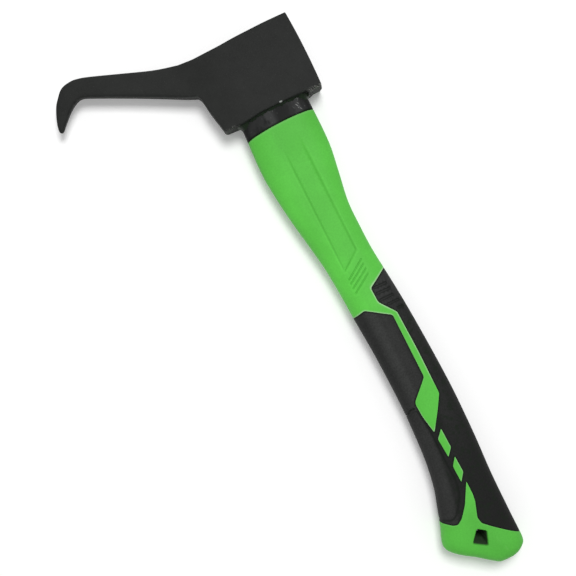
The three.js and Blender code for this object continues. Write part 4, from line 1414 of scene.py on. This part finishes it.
def make_stage(finishes):
    """The camera, the light, the room and the floor."""
    make_camera()
    make_light()
    room = Nodes(bpy.data.worlds.new("room"))
    background = room.tree.nodes["Background"]
    room.feed(background.inputs["Color"], (1, 1, 1))
    room.feed(background.inputs["Strength"], ROOM_LIGHT + (1 - ROOM_LIGHT) * room.seen())
    bpy.context.scene.world = room.owner
    mesh = bpy.data.meshes.new("floor")
    low = CAD_BOX[0][2] - FLOOR_DROP
    corners = [(x * FLOOR_REACH, y * FLOOR_REACH, low) for x, y in ((-1, -1), (1, -1), (1, 1), (-1, 1))]
    mesh.from_pydata(corners, [], [(0, 1, 2, 3)])
    mesh.materials.append(white_floor(finishes))
    floor = add_object("floor", mesh)
    bpy.context.scene.view_settings.view_transform = "Standard"


class PieceOperator:
    """What every operator of this add-on shares."""
    bl_options = {"REGISTER", "UNDO"}


class PICKAROON_OT_head(PieceOperator, bpy.types.Operator):
    """Build the hook forging."""
    bl_idname = "pickaroon.head"
    bl_label = "Hook head"

    def execute(self, context):
        make_head(context.scene.pickaroon_head, context.scene.pickaroon_finishes)
        return {"FINISHED"}


class PICKAROON_OT_neck(PieceOperator, bpy.types.Operator):
    """Build the black moulding under the head."""
    bl_idname = "pickaroon.neck"
    bl_label = "Neck"

    def execute(self, context):
        make_neck(context.scene.pickaroon_handle, context.scene.pickaroon_finishes)
        return {"FINISHED"}


class PICKAROON_OT_resin(PieceOperator, bpy.types.Operator):
    """Build the resin bead and the fill of the eye."""
    bl_idname = "pickaroon.resin"
    bl_label = "Resin"

    def execute(self, context):
        scene = context.scene
        make_resin(scene.pickaroon_handle, scene.pickaroon_head, scene.pickaroon_finishes)
        return {"FINISHED"}


class PICKAROON_OT_shells(PieceOperator, bpy.types.Operator):
    """Build the green jacket and the black grip."""
    bl_idname = "pickaroon.shells"
    bl_label = "Handle shells"

    def execute(self, context):
        make_handle_shells(context.scene.pickaroon_handle, context.scene.pickaroon_finishes)
        return {"FINISHED"}


class PICKAROON_OT_core(PieceOperator, bpy.types.Operator):
    """Finish the glass fibre core, which keeps its solid shape."""
    bl_idname = "pickaroon.core"
    bl_label = "Core"

    def execute(self, context):
        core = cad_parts["handle_core"]
        core.data.materials.clear()
        core.data.materials.append(glass_fibre(context.scene.pickaroon_finishes))
        return {"FINISHED"}


class PICKAROON_OT_stage(PieceOperator, bpy.types.Operator):
    """Set up the camera, the light, the room and the floor."""
    bl_idname = "pickaroon.stage"
    bl_label = "Stage"

    def execute(self, context):
        make_stage(context.scene.pickaroon_finishes)
        return {"FINISHED"}


OPERATORS = (PICKAROON_OT_stage, PICKAROON_OT_head, PICKAROON_OT_neck, PICKAROON_OT_resin,
             PICKAROON_OT_shells, PICKAROON_OT_core)


class PICKAROON_PT_sidebar(bpy.types.Panel):
    """The build steps and the sizes."""
    bl_idname = "PICKAROON_PT_sidebar"
    bl_label = "Pickaroon"
    bl_space_type = "VIEW_3D"
    bl_region_type = "UI"
    bl_category = "Pickaroon"

    def draw(self, context):
        for operator in OPERATORS:
            self.layout.operator(operator.bl_idname)
        scene = context.scene
        for group in (scene.pickaroon_handle, scene.pickaroon_head, scene.pickaroon_finishes):
            box = self.layout.box()
            for key in group.__annotations__:
                box.prop(group, key)


CLASSES = (HandleSizes, HeadSizes, Finishes, *OPERATORS, PICKAROON_PT_sidebar)


def register():
    for item in CLASSES:
        bpy.utils.register_class(item)
    bpy.types.Scene.pickaroon_handle = PointerProperty(type=HandleSizes)
    bpy.types.Scene.pickaroon_head = PointerProperty(type=HeadSizes)
    bpy.types.Scene.pickaroon_finishes = PointerProperty(type=Finishes)


def unregister():
    for name in ("pickaroon_handle", "pickaroon_head", "pickaroon_finishes"):
        delattr(bpy.types.Scene, name)
    for item in reversed(CLASSES):
        bpy.utils.unregister_class(item)


def main():
    register()
    bpy.ops.pickaroon.stage()
    bpy.ops.pickaroon.head()
    bpy.ops.pickaroon.neck()
    bpy.ops.pickaroon.resin()
    bpy.ops.pickaroon.shells()
    bpy.ops.pickaroon.core()


if __name__ == "__main__":
    main()
